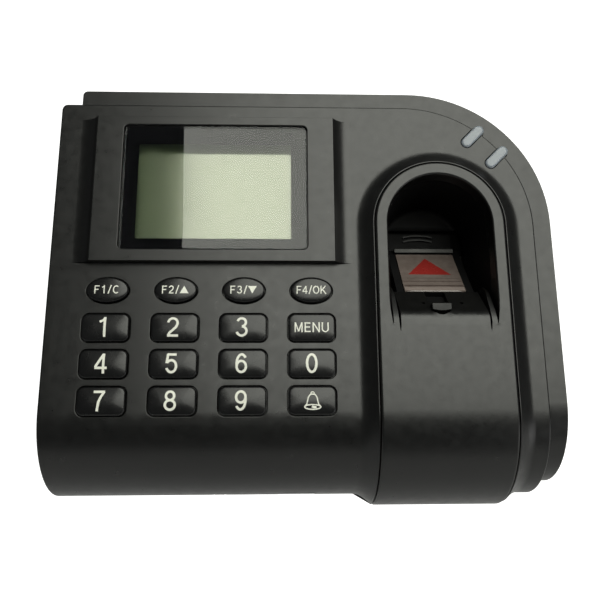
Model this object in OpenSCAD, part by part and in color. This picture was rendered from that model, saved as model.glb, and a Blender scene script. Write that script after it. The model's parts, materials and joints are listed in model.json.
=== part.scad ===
// Wall-mounted fingerprint terminal: offset two-layer body, raised display,
// 4 x 4 keypad, and a pod with a hooded finger recess over a tilted sensor.
// The face is drawn flat in a working frame (x right, y up, z out of the face,
// origin at the cover's top left corner) and place() stands it up on the wall.

/* [Cover] */
// Width of the front cover
cover_w = 176.3; // [175.8:0.1:176.8]
// Radius of the big rounded top right corner
corner_r = 47.5; // [46:0.5:48]
// Wall thickness of the plastic shells
wall_t = 2.5; // [2.3:0.1:2.6]
// Radius of the rolled chin
chin_r = 29.7; // [29.5:0.1:29.7]
// Height below the top edge at which the chin starts to roll
chin_start = 114.6; // [114.3:0.1:114.6]
// Distance from the face to the wall
depth = 36; // [36:0.5:38]

/* [Offset layer] */
// Sideways offset of the rear layer
shift_x = 6.9; // [6.5:0.1:7.2]
// Upward offset of the rear layer
shift_y = 6.4; // [6.2:0.1:6.5]
// Drop of the ledge below the face
ledge_drop = 1.7; // [1.5:0.1:2]

/* [Display] */
// Height of the display plateau over the face
plateau_h = 3.4; // [3.2:0.1:3.6]
// Width of the lens
lens_w = 67.1; // [66.6:0.1:67.2]
// Height of the lens
lens_h = 47.7; // [47.2:0.1:47.8]

/* [Keypad] */
// Distance between key columns
key_pitch_x = 24; // [23.8:0.1:24.1]
// Distance between key rows
key_pitch_y = 12.73; // [12.6:0.01:12.8]
// Width of a key cap
key_w = 16.4; // [16:0.1:16.5]
// Height of a key cap
key_h = 9.7; // [9.4:0.1:9.8]
// How far a key stands out of the face
key_proud = 1.5; // [1.3:0.1:1.6]
// Gap between a key and its opening
key_gap = 0.3; // [0.3:0.05:0.35]

/* [Pod] */
// Centre line of the pod from the left edge
pod_x = 140.4; // [140.2:0.1:140.6]
// Centre of the pod's arch below the top edge
pod_y = 48; // [47.8:0.1:48.2]
// Outer radius of the pod's rim
rim_r = 23.7; // [23.6:0.1:23.8]
// Inner radius of the pod's rim
recess_r = 19.05; // [19:0.05:19.1]
// Height of the pod's face over the cover
pod_h = 4; // [3.9:0.1:4]
// Width of the finger ramp
ramp_w = 31.4; // [31:0.1:31.5]

/* [Wall plate] */
// Width of the wall plate
plate_w = 140; // [139:0.5:140]
// Height of the wall plate
plate_h = 104; // [103:0.5:104]
// Wall screw spacing across
hole_dx = 120; // [118:1:121]
// Wall screw spacing up and down
hole_dy = 80; // [78:1:81]

/* [Hidden] */
$fn = 64;

cx = 91.6;          // plate centre in the working frame
cy = -66;
floor_z = -34;      // back of the housing floor, where the plate bears
floor_in = -31.5;   // inside of the housing floor
chin_y = -chin_start;
chin_z = -chin_r;
layer_low = -112 - chin_r + ledge_drop;  // lower end of the offset layer
key_x0 = 21.47;
key_y0 = -72.53;
row1 = -85.96;
lens_cx = 58.45;
lens_cy = -33.95;
usb_x = 88.6;
slope = 40.3;       // tilt of the sensor window
top_y = -51.3;      // upper edge of the sensor window
top_z = -24.6;
ramp_slope = 48;    // slope of the finger ramp above the window
roll_r = 6;         // roll of the ramp from the pod's face into the slope
roll_t = roll_r * tan(ramp_slope / 2);

// point s along the sensor slope and d behind it, as [y, z]
function sp(s, d) = [top_y - s * cos(slope) - d * sin(slope),
                     top_z + s * sin(slope) - d * cos(slope)];

roll_y = sp(25.7, 0)[0] - (pod_h - sp(25.7, 0)[1]) / tan(ramp_slope) - roll_t;

module place() translate([-cx, -depth, -cy]) rotate([90, 0, 0]) children();
module slab(z0, z1) translate([0, 0, z0]) linear_extrude(z1 - z0) children();
// extrude a (y, z) outline along x
module along_x(x0, x1)
  translate([x0, 0, 0]) rotate([90, 0, 90]) linear_extrude(x1 - x0) children();
// extrude an (x, z) outline along y, downwards from y1 to y0
module along_y(y0, y1)
  translate([0, y1, 0]) rotate([90, 0, 0]) linear_extrude(y1 - y0) children();

module sheet(x0, x1, ytop, ybot, rtr, rtl) {
  difference() {
    translate([x0, ybot]) square([x1 - x0, ytop - ybot]);
    translate([x1 - rtr, ytop - rtr]) square(rtr + 1);
    translate([x0 - 1, ytop - rtl]) square(rtl + 1);
  }
  translate([x1 - rtr, ytop - rtr]) circle(rtr, $fn = 128);
  translate([x0 + rtl, ytop - rtl]) circle(rtl);
}
module cover2d(t = 0, ybot = -150)
  sheet(t, cover_w - t, -t, ybot, corner_r - t, max(2 - t, 0.6));
module layer2d(t = 0, ybot = -150)
  sheet(shift_x + 0.1 + t, shift_x + cover_w - t, shift_y - t, ybot,
        corner_r + 4.5 - t, max(1.8 - t, 0.8));
module rrect(w, h, r) {
  square([w - 2 * r, h], center = true);
  square([w, h - 2 * r], center = true);
  for (a = [-1, 1], b = [-1, 1])
    translate([a * (w / 2 - r), b * (h / 2 - r)]) circle(r);
}
module oval(w, h) polygon([for (i = [0 : 47])
  [w / 2 * cos(i * 7.5), h / 2 * sin(i * 7.5)]]);
module arch2d(r, ybot) {
  translate([pod_x, -pod_y]) circle(r, $fn = 128);
  translate([pod_x - r, ybot]) square([2 * r, -pod_y - ybot]);
}
module pill(l, w) {
  square([l - w, w], center = true);
  for (a = [-1, 1]) translate([a * (l - w) / 2, 0]) circle(w / 2);
}
// side profile with the rolled chin, as (y, z)
module chin2d(c, cz, r, zback = -60) {
  translate([c, cz]) circle(r, $fn = 128);
  translate([c, zback]) square([12 - c, cz + r - zback]);
  translate([c - r, zback]) square([r, cz - zback]);
}
module rod(x, y, r, z0, z1) translate([x, y, z0]) cylinder(r = r, h = z1 - z0);
module box(x0, x1, y0, y1, z0, z1)
  translate([x0, y0, z0]) cube([x1 - x0, y1 - y0, z1 - z0]);

function key_x(i) = key_x0 + key_pitch_x * i;
function key_y(j) = j == 0 ? key_y0 : row1 - key_pitch_y * (j - 1);

cover_boss = [[8, -8], [8, -128], [110, -8], [108, -128], [171, -126], [170, -82]];
pad_post = [for (i = [0 : 2], y = [-79.25, -105.05]) [33.47 + 24 * i, y]];
lcd_post = [[18, -9], [98.5, -9], [18, -59], [98.5, -59]];
main_post = [[18, -17], [104, -17], [18, -78], [104, -78]];
bezel_post = [[113.3, -58], [167.5, -58], [113.3, -104], [167.5, -104]];
pipe_a = [155.7, -11.8];
pipe_b = [164.35, -20.2];
pipe_ang = 45.4;

module front_cover() color("#2b2b29") place() {
  difference() {
    union() {
      intersection() {
        slab(-31.2, 0) cover2d();
        along_x(-5, 200) chin2d(chin_y, chin_z, chin_r);
      }
      // display plateau with a concave flare at each end
      along_y(-62.4, -6.5) difference() {
        translate([7.9, -1]) square([100.9, plateau_h + 1]);
        for (x = [7.9, 108.8]) translate([x, 8.5]) circle(8.5);
      }
      // skirt of the pod: cone, straight flanks, then round the chin
      translate([pod_x, -pod_y, -1]) cylinder(r = rim_r + 7, h = 1.001, $fn = 128);
      translate([pod_x, -pod_y, 0])
        cylinder(r1 = rim_r + 7, r2 = rim_r + 0.2, h = 3.4, $fn = 128);
      along_y(chin_y, -pod_y) skirt2d();
      translate([0, chin_y, chin_z]) rotate([0, 90, 0]) rotate_extrude($fn = 128)
        polygon([[20, pod_x - rim_r - 7], [chin_r, pod_x - rim_r - 7],
                 [chin_r + 3.4, pod_x - rim_r - 0.2], [chin_r + 3.4, pod_x + rim_r + 0.2],
                 [chin_r, pod_x + rim_r + 7], [20, pod_x + rim_r + 7]]);
      slab(-31.2, chin_z) polygon([[pod_x - rim_r - 7, chin_y - chin_r],
        [pod_x - rim_r - 0.2, chin_y - chin_r - 3.4], [pod_x + rim_r + 0.2, chin_y - chin_r - 3.4],
        [pod_x + rim_r + 7, chin_y - chin_r]]);
    }
    // everything behind the wall edge
    box(-5, 200, -160, 20, -80, -31.2);
    // inside
    intersection() {
      slab(-60, -wall_t) cover2d(wall_t);
      along_x(-5, 200) chin2d(chin_y, chin_z, chin_r - wall_t);
    }
    box(21.5, 94.5, -59.4, -8.6, -3, 0.9);
    // lens pocket and sight opening
    translate([lens_cx, lens_cy, 0]) slab(1.4, 8) rrect(lens_w + 0.6, lens_h + 0.6, 1.8);
    translate([lens_cx, lens_cy, 0]) slab(-1, 8) rrect(60.5, 41.5, 1);
    // key openings
    for (i = [0 : 3]) {
      translate([key_x(i), key_y(0), 0]) slab(-5, 3) oval(14.7 + 2 * key_gap, 8.9 + 2 * key_gap);
      for (j = [1 : 3]) translate([key_x(i), key_y(j), 0])
        slab(-5, 3) rrect(key_w + 2 * key_gap, key_h + 2 * key_gap, 2.5);
    }
    // slot for the pod
    slab(-40, 12) arch2d(rim_r + 0.25, -160);
    // slots for the light pipes
    for (p = [pipe_a, pipe_b]) translate([p[0], p[1], 0]) rotate(pipe_ang)
      slab(-2.7, 3) pill(11.8, 4.7);
    for (p = bezel_post) rod(p[0], p[1], 1.15, -3, -0.7);
    // usb opening and lock screw hole in the bottom wall
    box(usb_x - 6.9, usb_x + 6.9, -150, -139, -30.4, -22.7);
    translate([60, -139, -27.6]) rotate([90, 0, 0]) cylinder(r = 1.7, h = 10);
    translate([60, -142.4, -27.6]) rotate([90, 0, 0]) cylinder(r = 3.1, h = 10);
  }
  // screw bosses
  for (p = cover_boss) difference() {
    intersection() {
      rod(p[0], p[1], 3.1, -31.2, -1);
      along_x(-5, 200) chin2d(chin_y, chin_z, chin_r - 1);
    }
    rod(p[0], p[1], 1.5, -40, -12);
  }
  for (p = pad_post) difference() { rod(p[0], p[1], 2, -6.2, -1); rod(p[0], p[1], 1.1, -8, -3); }
  for (p = lcd_post) difference() { rod(p[0], p[1], 2.2, -6.4, -1); rod(p[0], p[1], 1.1, -8, -3); }
  difference() { rod(157.5, -19.6, 2, -11.2, -1); rod(157.5, -19.6, 1.1, -12, -6); }
}
module skirt2d() polygon([[pod_x - rim_r - 7, -1], [pod_x - rim_r - 7, 0],
  [pod_x - rim_r - 0.2, 3.4], [pod_x + rim_r + 0.2, 3.4],
  [pod_x + rim_r + 7, 0], [pod_x + rim_r + 7, -1]]);

module foot2d(t = 0) {
  sheet(t, cover_w - t, -t, chin_y - chin_r + t, corner_r - t, max(2 - t, 0.6));
  sheet(shift_x + 0.1 + t, shift_x + cover_w - t, shift_y - t, layer_low + t, corner_r + 4.5 - t, max(1.8 - t, 0.8));
  polygon([[pod_x - rim_r - 7 + t, -141 + t], [pod_x - rim_r - 7 + t, chin_y - chin_r + t],
    [pod_x - rim_r + t * 0.5, chin_y - chin_r - 4 + t], [pod_x + rim_r - t * 0.5, chin_y - chin_r - 4 + t],
    [pod_x + rim_r + 7 - t, chin_y - chin_r + t], [pod_x + rim_r + 7 - t, -141 + t]]);
}
module rear_housing() color("#262624") place() difference() {
  union() {
    difference() {
      slab(-depth, floor_in) foot2d();
      slab(-60, floor_z) foot2d(2.5);
    }
    // offset layer: hollow ledge along the top and the right
    difference() {
      intersection() {
        slab(floor_in - 0.1, 0) layer2d();
        along_x(-5, 200) chin2d(-112, chin_z, chin_r - ledge_drop);
      }
      slab(-60, 5) cover2d(-0.3, -160);
      intersection() {
        slab(-60, 0) layer2d(2.2);
        along_x(-5, 200) chin2d(-112, chin_z, chin_r - ledge_drop - 2.2);
      }
    }
    // posts for the main board
    for (p = main_post) rod(p[0], p[1], 3, floor_in - 0.1, -26);
    // cable bay
    box(20, 106, -114, -84.4, floor_in - 0.1, -9.2);
  }
  // bay hollow
  box(22, 104, -112, -86.4, -60, -11.2);
  box(27.8, 44.4, -87, -84, -24.6, -11.3);
  box(49.7, 59.3, -87, -84, -24.6, -13);
  box(63.7, 90.3, -87, -84, -24.6, -14);
  translate([97.5, -84, -20]) rotate([90, 0, 0]) cylinder(r = 1.7, h = 3);
  // board screws, cover screws
  for (p = main_post) rod(p[0], p[1], 1.3, -33, -25);
  for (p = cover_boss) rod(p[0], p[1], 1.7, -40, -30);
  // hook slots, lock tab slot, tamper hole
  for (x = [50, 133]) box(x - 6.6, x + 6.6, -31.5, -21.7, -40, -30);
  box(52.5, 67.5, -139.8, -137.2, -40, -30);
  rod(112.3, -40, 1.9, -40, -30);
  // sound holes
  for (i = [-3 : 3]) box(30 + i * 2.6 - 0.6, 30 + i * 2.6 + 0.6,
    -128 - sqrt(90 - pow(i * 2.6, 2)), -128 + sqrt(90 - pow(i * 2.6, 2)), -40, -30);
  // light pipe ends sink into the ledge
  for (p = [pipe_a, pipe_b]) translate([p[0], p[1], 0]) rotate(pipe_ang)
    slab(-2.7, 3) pill(11.8, 4.7);
}

module wall_plate() color("#9a9c9e") place() difference() {
  union() {
    box(cx - plate_w / 2, cx + plate_w / 2, cy - plate_h / 2, cy + plate_h / 2, -depth, floor_z);
    box(53, 67, -139.4, cy - plate_h / 2 + 1, -depth, floor_z);
    box(53, 67, -139.4, -137.6, -depth, -24.6);
    for (x = [50, 133]) {
      box(x - 6, x + 6, -24, -22, floor_z - 0.1, -29.4);
      box(x - 6, x + 6, -24, -17, -31.2, -29.4);
    }
  }
  // cable window and wall screw holes
  box(38, 100, -113, -85, -60, -30);
  for (a = [-1, 1], b = [-1, 1]) translate([cx + a * hole_dx / 2, cy + b * hole_dy / 2, 0]) {
    translate([0, 0, -40]) cylinder(r = 2.25, h = 10);
    translate([0, 0, floor_z - 1.2]) cylinder(r1 = 2.25, r2 = 3.85, h = 1.6);
  }
  translate([60, -130, -27.6]) rotate([90, 0, 0]) cylinder(r = 1.5, h = 12);
}

module display_lens() color("#39403a") place() translate([lens_cx, lens_cy, 0])
  slab(1.4, 2.9) rrect(lens_w, lens_h, 1.5);

module sensor_bezel() color("#2b2b29") place() {
  difference() {
    union() {
      difference() {
        intersection() {
          slab(-31.2, pod_h) arch2d(rim_r, -160);
          along_x(100, 180) chin2d(chin_y, chin_z, chin_r + pod_h);
        }
        intersection() {
          slab(-60, pod_h - 2.2) arch2d(rim_r - 2.2, -160);
          along_x(100, 180) chin2d(chin_y, chin_z, chin_r + pod_h - 2.2);
        }
        slab(-60, 20) arch2d(recess_r, -86);
      }
      // finger ramp: tangent roll into the slope of the sensor
      along_x(pod_x - ramp_w / 2, pod_x + ramp_w / 2) difference() {
        polygon(concat([[-92, pod_h]],
          [for (i = [0 : 8]) [roll_y + roll_r * sin(i * ramp_slope / 8), pod_h - roll_r + roll_r * cos(i * ramp_slope / 8)]],
          [sp(25.7, 0), sp(25.7, 0) - 1.9 * [sin(ramp_slope), cos(ramp_slope)]],
          [for (i = [8 : -1 : 0]) [roll_y + (roll_r - 2) * sin(i * ramp_slope / 8), pod_h - roll_r + (roll_r - 2) * cos(i * ramp_slope / 8)]],
          [[-92, pod_h - 2]]));
        translate([-95, pod_h]) square([20, 5]);
      }
      // finger stop between the half moon and the notch
      box(pod_x - 4.3, pod_x + 2.5, -80.3, -77.6, 0, 3.4);
      // fixing lugs
      for (p = bezel_post) slab(-5.2, -2.8) {
        translate(p) circle(3.4);
        translate([p[0] < pod_x ? p[0] : p[0] - 4.2, p[1] - 3.4]) square([4.2, 6.8]);
      }
    }
    for (p = bezel_post) rod(p[0], p[1], 1.3, -10, 0);
    // way through for the sensor ribbon
    box(115, 120, -61, -51, -25.5, -20.5);
    // two locating holes and the half-moon notch on the ramp
    for (a = [-6.4, 7.5]) translate([pod_x + a, -76.5, -12]) cylinder(r = 0.75, h = 20);
    intersection() {
      translate([pod_x - 0.8, -77.1, -12]) cylinder(r = 4.65, h = 20);
      box(pod_x - 4.6, pod_x + 3, -82, -80.3, -12, 5);
    }
    // finger notch in the ramp's upper edge
    box(pod_x - 4.6, pod_x + 2.9, -76.2, -69, -12, 2);
  }
}

module recess_liner() color("#1c1c1b") place() difference() {
  slab(floor_in, 3.6) arch2d(recess_r - 0.3, -86);
  // hollow of the hood
  slab(-27.8, 10) arch2d(16.2, -100);
  box(115, 127, -61, -51, -25.5, -20.5);
  // open bottom below the hood for the sensor
  box(pod_x - 16.2, pod_x + 16.2, -100, -40, -60, 10);
  // side walls drop from the face into the recess
  along_x(100, 180) polygon([[20, 8], [20, -3], [-69, -3], [-73, -1.6], [-77, 0.4],
                             [-81, 2.2], [-86, 3.6], [-100, 3.7], [-100, 8]]);
}

module light_pipe(p) color("#b9c0c6") place() translate([p[0], p[1], 0]) rotate(pipe_ang) {
  slab(-2.4, 0.5) pill(11.2, 4.1);
  translate([-2.4, 0, -9]) cylinder(r = 1.3, h = 7);
}
module light_pipe_upper() light_pipe(pipe_a);
module light_pipe_lower() light_pipe(pipe_b);

module key(i, j) color("#1f1f1e") place() translate([key_x(i), key_y(j), 0]) {
  if (j == 0) slab(-2.9, key_proud + 0.4) oval(14.7, 8.9);
  else slab(-2.9, key_proud) rrect(key_w, key_h, 2.3);
  slab(-3.6, -2.8) rrect(18.6, j == 0 ? 10.9 : 11.5, 2);
  translate([0, 0, -4.9]) cylinder(r = 3, h = 1.5);
}
module key_f1() key(0, 0);
module key_f2() key(1, 0);
module key_f3() key(2, 0);
module key_f4() key(3, 0);
module key_1() key(0, 1);
module key_2() key(1, 1);
module key_3() key(2, 1);
module key_menu() key(3, 1);
module key_4() key(0, 2);
module key_5() key(1, 2);
module key_6() key(2, 2);
module key_0() key(3, 2);
module key_7() key(0, 3);
module key_8() key(1, 3);
module key_9() key(2, 3);
module key_bell() key(3, 3);

module keypad_mat() color("#4a4c50") place() difference() {
  box(13, 105, -119, -67, -6.2, -5);
  for (i = [0 : 3], j = [0 : 3]) rod(key_x(i), key_y(j), 3.7, -8, -4);
  for (p = pad_post) rod(p[0], p[1], 2.4, -8, -4);
}
module keypad_board() color("#1f5b3a") place() difference() {
  box(12, 106, -120, -66, -7.8, -6.2);
  for (p = pad_post) rod(p[0], p[1], 1.2, -9, -5);
}
module lcd_frame() color("#8d8f92") place() difference() {
  box(22, 94, -59, -9, -6.4, -1.9);
  box(22.6, 93.4, -58.4, -9.6, -8, -2.5);
  box(28.4, 87.5, -53.6, -14.4, -3, 0);
}
module lcd_glass() color("#8a9a74") place() box(23.2, 92.8, -57.8, -10.2, -4.6, -2.6);
module lcd_backlight() color("#e6ead8") place() box(23.2, 92.8, -57.8, -10.2, -6.3, -4.7);
module lcd_board() color("#1f5b3a") place() {
  difference() {
    box(14.5, 101.5, -62.5, -5.5, -8, -6.4);
    for (p = lcd_post) rod(p[0], p[1], 1.2, -9, -5);
  }
  box(46, 70, -60, -56.5, -10, -8);
}
module main_board() color("#1d6a43") place() {
  difference() {
    union() {
      box(14, 108, -83.5, -13, -26, -24.4);
      box(107, 115.6, -44, -36, -26, -24.4);
    }
    for (p = main_post) rod(p[0], p[1], 1.4, -28, -22);
  }
  // connectors for the ribbons
  box(46, 70, -60, -56.5, -24.4, -21.4);
  box(101, 106.5, -62, -50, -24.4, -21.9);
}
module main_chips() color("#18191b") place() {
  box(50, 72, -42, -20, -24.4, -22.8);
  box(26, 38, -38, -20, -24.4, -23.2);
  box(78, 88, -56, -43, -24.4, -23.2);
  box(28, 38, -58, -48, -24.4, -22.8);
}
module capacitors() color("#5a6a8a") place()
  for (p = [[48, -66], [57, -66], [80, -68]]) rod(p[0], p[1], 3.1, -24.4, -14);
module network_jack() color("#b5b7b9") place() difference() {
  box(28.1, 44.1, -86.2, -65.2, -24.4, -11.6);
  box(30.2, 42, -87, -74, -22.6, -14.8);
  box(32.8, 39.4, -87, -74, -23.6, -22.5);
}
module power_jack() color("#1b1b1c") place() {
  difference() {
    box(50, 59, -86.2, -72.2, -24.4, -13.3);
    translate([54.5, -75, -18.4]) rotate([90, 0, 0]) cylinder(r = 3.1, h = 20);
  }
  translate([54.5, -74.9, -18.4]) rotate([90, 0, 0]) cylinder(r = 1, h = 10.5);
}
module door_terminal() color("#2f7d4a") place() difference() {
  box(64, 90, -86.2, -76, -24.4, -14.3);
  for (i = [0 : 4]) {
    box(65 + i * 5.08, 68.6 + i * 5.08, -87, -80, -22.8, -19.4);
    rod(66.8 + i * 5.08, -81, 1.5, -18, -10);
  }
}
module relay() color("#2255a0") place() box(88.5, 107, -74, -63, -24.4, -12);
module cell_holder() color("#202124") place() difference() {
  rod(88, -29, 11.6, -24.4, -19.6);
  rod(88, -29, 10.2, -22.9, -10);
}
module backup_cell() color("#c9cbcd") place() rod(88, -29, 10, -22.9, -19.8);
module usb_port() color("#b9bbbd") place() difference() {
  box(usb_x - 6.5, usb_x + 6.5, -143.2, -129.4, -30, -23);
  box(usb_x - 6.1, usb_x + 6.1, -144, -131, -29.6, -23.4);
}
module usb_board() color("#1f5b3a") place() {
  box(76, 101, -139.5, -116.5, -22.9, -21.4);
  // contact tongue inside the port
  box(usb_x - 5.6, usb_x + 5.6, -141.6, -131.1, -26.2, -24.4);
}
module speaker() color("#2a2b2d") place() difference() {
  rod(30, -128, 11.5, -31.4, -26.4);
  rod(30, -128, 9.8, -32, -30.2);
}
module tamper_plunger() color("#d8d8d2") place() {
  rod(112.3, -40, 1.6, floor_z, -31);
  rod(112.3, -40, 2.5, -31.4, -30.7);
  rod(112.3, -40, 1, -30.8, -29.9);
}
module tamper_spring() color("#aeb2b6") place() difference() {
  rod(112.3, -40, 2.2, -30.6, -28.3);
  rod(112.3, -40, 1.6, -31, -28);
}
module tamper_switch() color("#1b1c1e") place() box(109.2, 115.4, -43.1, -36.9, -28.2, -26);
module reset_switch() color("#1b1c1e") place() box(94.4, 100.6, -82.3, -78.6, -24.4, -17);
module reset_button() color("#d8d8d2") place()
  translate([97.5, -82.9, -20]) rotate([90, 0, 0]) cylinder(r = 1.4, h = 4);

module sensor_housing() color("#141414") place() difference() {
  along_x(pod_x - 14.5, pod_x + 14.5)
    polygon([sp(-3.2, 0.4), sp(25.3, 0.4), sp(25.3, 2.6), [-90, -10.3], [-90, floor_in],
             [sp(-3.2, 0)[0], floor_in]]);
  // prism pocket, light path, camera bay
  along_x(pod_x - 11.7, pod_x + 11.7)
    polygon([sp(-0.3, -1), sp(25.15, -1), sp(25.15, 1), [-71.5, -11], [-71.5, -26.4],
             sp(12.6, 13.4), sp(-0.3, 1.2)]);
  box(pod_x - 11.7, pod_x + 11.7, -88.8, -70, -30, -12);
  box(pod_x - 11.7, pod_x + 11.7, -72, -56, -30, -27);
}
module sensor_prism() color("#8f8582") place() along_x(pod_x - 11.5, pod_x + 11.5)
  polygon([sp(0, 0), sp(25.05, 0), sp(25.05, 0.8), sp(12.5, 12.4), sp(0, 0.8)]);
module sensor_clip() color("#8b8d90") place() along_x(pod_x - 12, pod_x + 12)
  polygon([sp(-2.9, 0.38), sp(-0.75, 0.38), [-50.9, -24.3], [-50.6, -24.1],
    [-49.1, -24.1], [-48.8, -24.4], [-48.8, -26.3]]);
module sensor_lens() color("#101012") place()
  translate([pod_x, -85.6, -19]) rotate([-90, 0, 0]) cylinder(r = 4, h = 9);
module sensor_camera_board() color("#1f5b3a") place() {
  box(pod_x - 11, pod_x + 11, -88.6, -87.2, -29.5, -12.4);
  box(pod_x - 4, pod_x + 4, -87.3, -85.7, -23, -15);
}
module sensor_light_board() color("#1f5b3a") place() {
  box(pod_x - 11, pod_x + 11, -68, -57, -29.9, -28.9);
  for (a = [-1 : 1]) box(pod_x + a * 7 - 1.5, pod_x + a * 7 + 1.5, -64, -61, -28.95, -27.9);
}
module status_board() color("#1f5b3a") place() translate([157.5, -19.6, 0]) rotate(-45) {
  difference() {
    slab(-12.5, -11.3) square([17, 7.6], center = true);
    rod(0, 0, 1.2, -14, -10);
  }
  for (a = [-6.8, 5.3]) slab(-11.4, -9.3) translate([a, 1.95]) square([3.2, 2.6], center = true);
}
module cover_screws() color("#b8babc") place() for (p = cover_boss) {
  rod(p[0], p[1], 2.8, -35.7, floor_z);
  rod(p[0], p[1], 1.35, floor_z - 0.2, -22);
}
module board_screws() color("#b8babc") place() {
  for (p = main_post) { rod(p[0], p[1], 2.5, -24.4, -22.9); rod(p[0], p[1], 1.1, -30, -24.3); }
  for (p = concat(pad_post, lcd_post)) {
    z = p[1] > -60 ? -8 : -7.8;
    rod(p[0], p[1], 1.9, z - 1.1, z);
    rod(p[0], p[1], 0.95, z - 0.1, -3.6);
  }
  rod(157.5, -19.6, 1.9, -13.6, -12.5);
  rod(157.5, -19.6, 0.95, -12.6, -7);
}
module bezel_screws() color("#b8babc") place() for (p = bezel_post) {
  rod(p[0], p[1], 2.2, -6.5, -5.2);
  rod(p[0], p[1], 1, -5.3, -0.9);
}
module lock_screw() color("#b8babc") place() {
  translate([60, -142.4, -27.6]) rotate([90, 0, 0]) cylinder(r = 2.8, h = 1.3);
  translate([60, -134, -27.6]) rotate([90, 0, 0]) cylinder(r = 1.35, h = 8.5);
}
module display_cable() color("#d9d3bd") place() along_x(48, 68)
  polygon([[-58.5, -10], [-58.5, -13], [-62, -15.5], [-62, -16.5], [-58.5, -18.5], [-58.5, -21.4],
           [-58, -21.4], [-58, -18.2], [-61.5, -16.2], [-61.5, -15.8], [-58, -13.3], [-58, -10]]);
module sensor_cable() color("#d9d3bd") place() along_y(-60, -52)
  polygon([[106.5, -23.4], [111, -23.4], [113, -22.6], [125.9, -22.6], [125.9, -22.2], [112.8, -22.2],
           [110.8, -23], [106.5, -23]]);

front_cover();
rear_housing();
wall_plate();
display_lens();
sensor_bezel();
recess_liner();
light_pipe_upper();
light_pipe_lower();
key_f1();
key_f2();
key_f3();
key_f4();
key_1();
key_2();
key_3();
key_menu();
key_4();
key_5();
key_6();
key_0();
key_7();
key_8();
key_9();
key_bell();
keypad_mat();
keypad_board();
lcd_frame();
lcd_glass();
lcd_backlight();
lcd_board();
main_board();
main_chips();
capacitors();
network_jack();
power_jack();
door_terminal();
relay();
backup_cell();
cell_holder();
usb_port();
usb_board();
speaker();
tamper_plunger();
tamper_spring();
tamper_switch();
reset_button();
reset_switch();
sensor_housing();
sensor_prism();
sensor_clip();
sensor_lens();
sensor_camera_board();
sensor_light_board();
status_board();
cover_screws();
board_screws();
bezel_screws();
lock_screw();
display_cable();
sensor_cable();
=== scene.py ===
import bpy, bmesh, json, math
import numpy as np
from mathutils import Vector, Matrix, geometry


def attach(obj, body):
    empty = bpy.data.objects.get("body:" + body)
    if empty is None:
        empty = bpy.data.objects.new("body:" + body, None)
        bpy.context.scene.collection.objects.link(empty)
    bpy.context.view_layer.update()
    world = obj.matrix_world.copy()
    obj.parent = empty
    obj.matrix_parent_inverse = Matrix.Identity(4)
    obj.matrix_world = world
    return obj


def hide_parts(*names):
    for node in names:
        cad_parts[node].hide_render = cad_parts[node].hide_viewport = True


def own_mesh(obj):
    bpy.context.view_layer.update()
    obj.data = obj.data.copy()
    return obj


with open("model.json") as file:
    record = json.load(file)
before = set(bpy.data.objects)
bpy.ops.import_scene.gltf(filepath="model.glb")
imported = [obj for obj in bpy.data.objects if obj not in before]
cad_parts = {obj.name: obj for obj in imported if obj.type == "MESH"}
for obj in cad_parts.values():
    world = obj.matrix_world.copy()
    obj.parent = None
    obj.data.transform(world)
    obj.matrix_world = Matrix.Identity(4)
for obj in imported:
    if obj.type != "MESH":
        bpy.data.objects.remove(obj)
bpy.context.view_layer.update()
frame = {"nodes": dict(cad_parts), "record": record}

MM = 0.001
CX, CY, DEPTH = 91.6, -66.0, 36.0          # working frame (mm, face plane z = 0) to row frame
CHY, CHR = -114.6, 29.7                    # where the chin starts to roll, and its radius
QUARTER = CHR * math.pi / 2
YEND = CHY - QUARTER - 1.7                 # unrolled lower end of the front shells
POD_X, POD_Y = 140.4, -48.0
KEY_X = [21.47 + 24 * i for i in range(4)]
KEY_Y = [-72.53, -85.96, -98.69, -111.42]
SLOPE = math.radians(40.3)
RSLOPE, ROLL = math.radians(48), 6.0        # finger ramp
WIN_Y, WIN_Z = -51.3, -24.6


def row(x, y, z):
    return ((x - CX) * MM, (-z - DEPTH) * MM, (y - CY) * MM)


def bend(x, y, d, cy=CHY, r=CHR):
    """Unrolled face point (x, y) at height d, wrapped over the chin."""
    s = cy - y
    if s <= 0:
        return row(x, y, d)
    if s <= r * math.pi / 2:
        a = s / r
        return row(x, cy - (r + d) * math.sin(a), -r + (r + d) * math.cos(a))
    return row(x, cy - (r + d), -r - (s - r * math.pi / 2))


def sp(s, d):
    return (WIN_Y - s * math.cos(SLOPE) - d * math.sin(SLOPE),
            WIN_Z + s * math.sin(SLOPE) - d * math.cos(SLOPE))


class Build:
    def __init__(self):
        self.v, self.f, self.k = [], [], {}

    def vert(self, p):
        k = (round(p[0] * 2e6), round(p[1] * 2e6), round(p[2] * 2e6))
        i = self.k.get(k)
        if i is None:
            i = len(self.v)
            self.v.append(p)
            self.k[k] = i
        return i

    def face(self, pts):
        ids = []
        for p in pts:
            i = self.vert(p)
            if i not in ids:
                ids.append(i)
        if len(ids) > 2:
            self.f.append(ids)

    def strip(self, a, b, closed=False):
        n = len(a)
        for i in range(n if closed else n - 1):
            j = (i + 1) % n
            self.face([a[i], a[j], b[j], b[i]])

    def loft(self, loops, closed=False):
        for a, b in zip(loops, loops[1:]):
            self.strip(a, b, closed)

    def make(self, name, mat, body, replaces=(), angle=32, weighted=True):
        me = bpy.data.meshes.new(name)
        me.from_pydata(self.v, [], self.f)
        bm = bmesh.new()
        bm.from_mesh(me)
        bmesh.ops.remove_doubles(bm, verts=bm.verts, dist=2e-6)
        bmesh.ops.dissolve_degenerate(bm, edges=bm.edges, dist=1e-7)
        bmesh.ops.recalc_face_normals(bm, faces=bm.faces)
        bm.to_mesh(me)
        bm.free()
        return finish(name, me, mat, body, replaces, angle, weighted)


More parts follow.
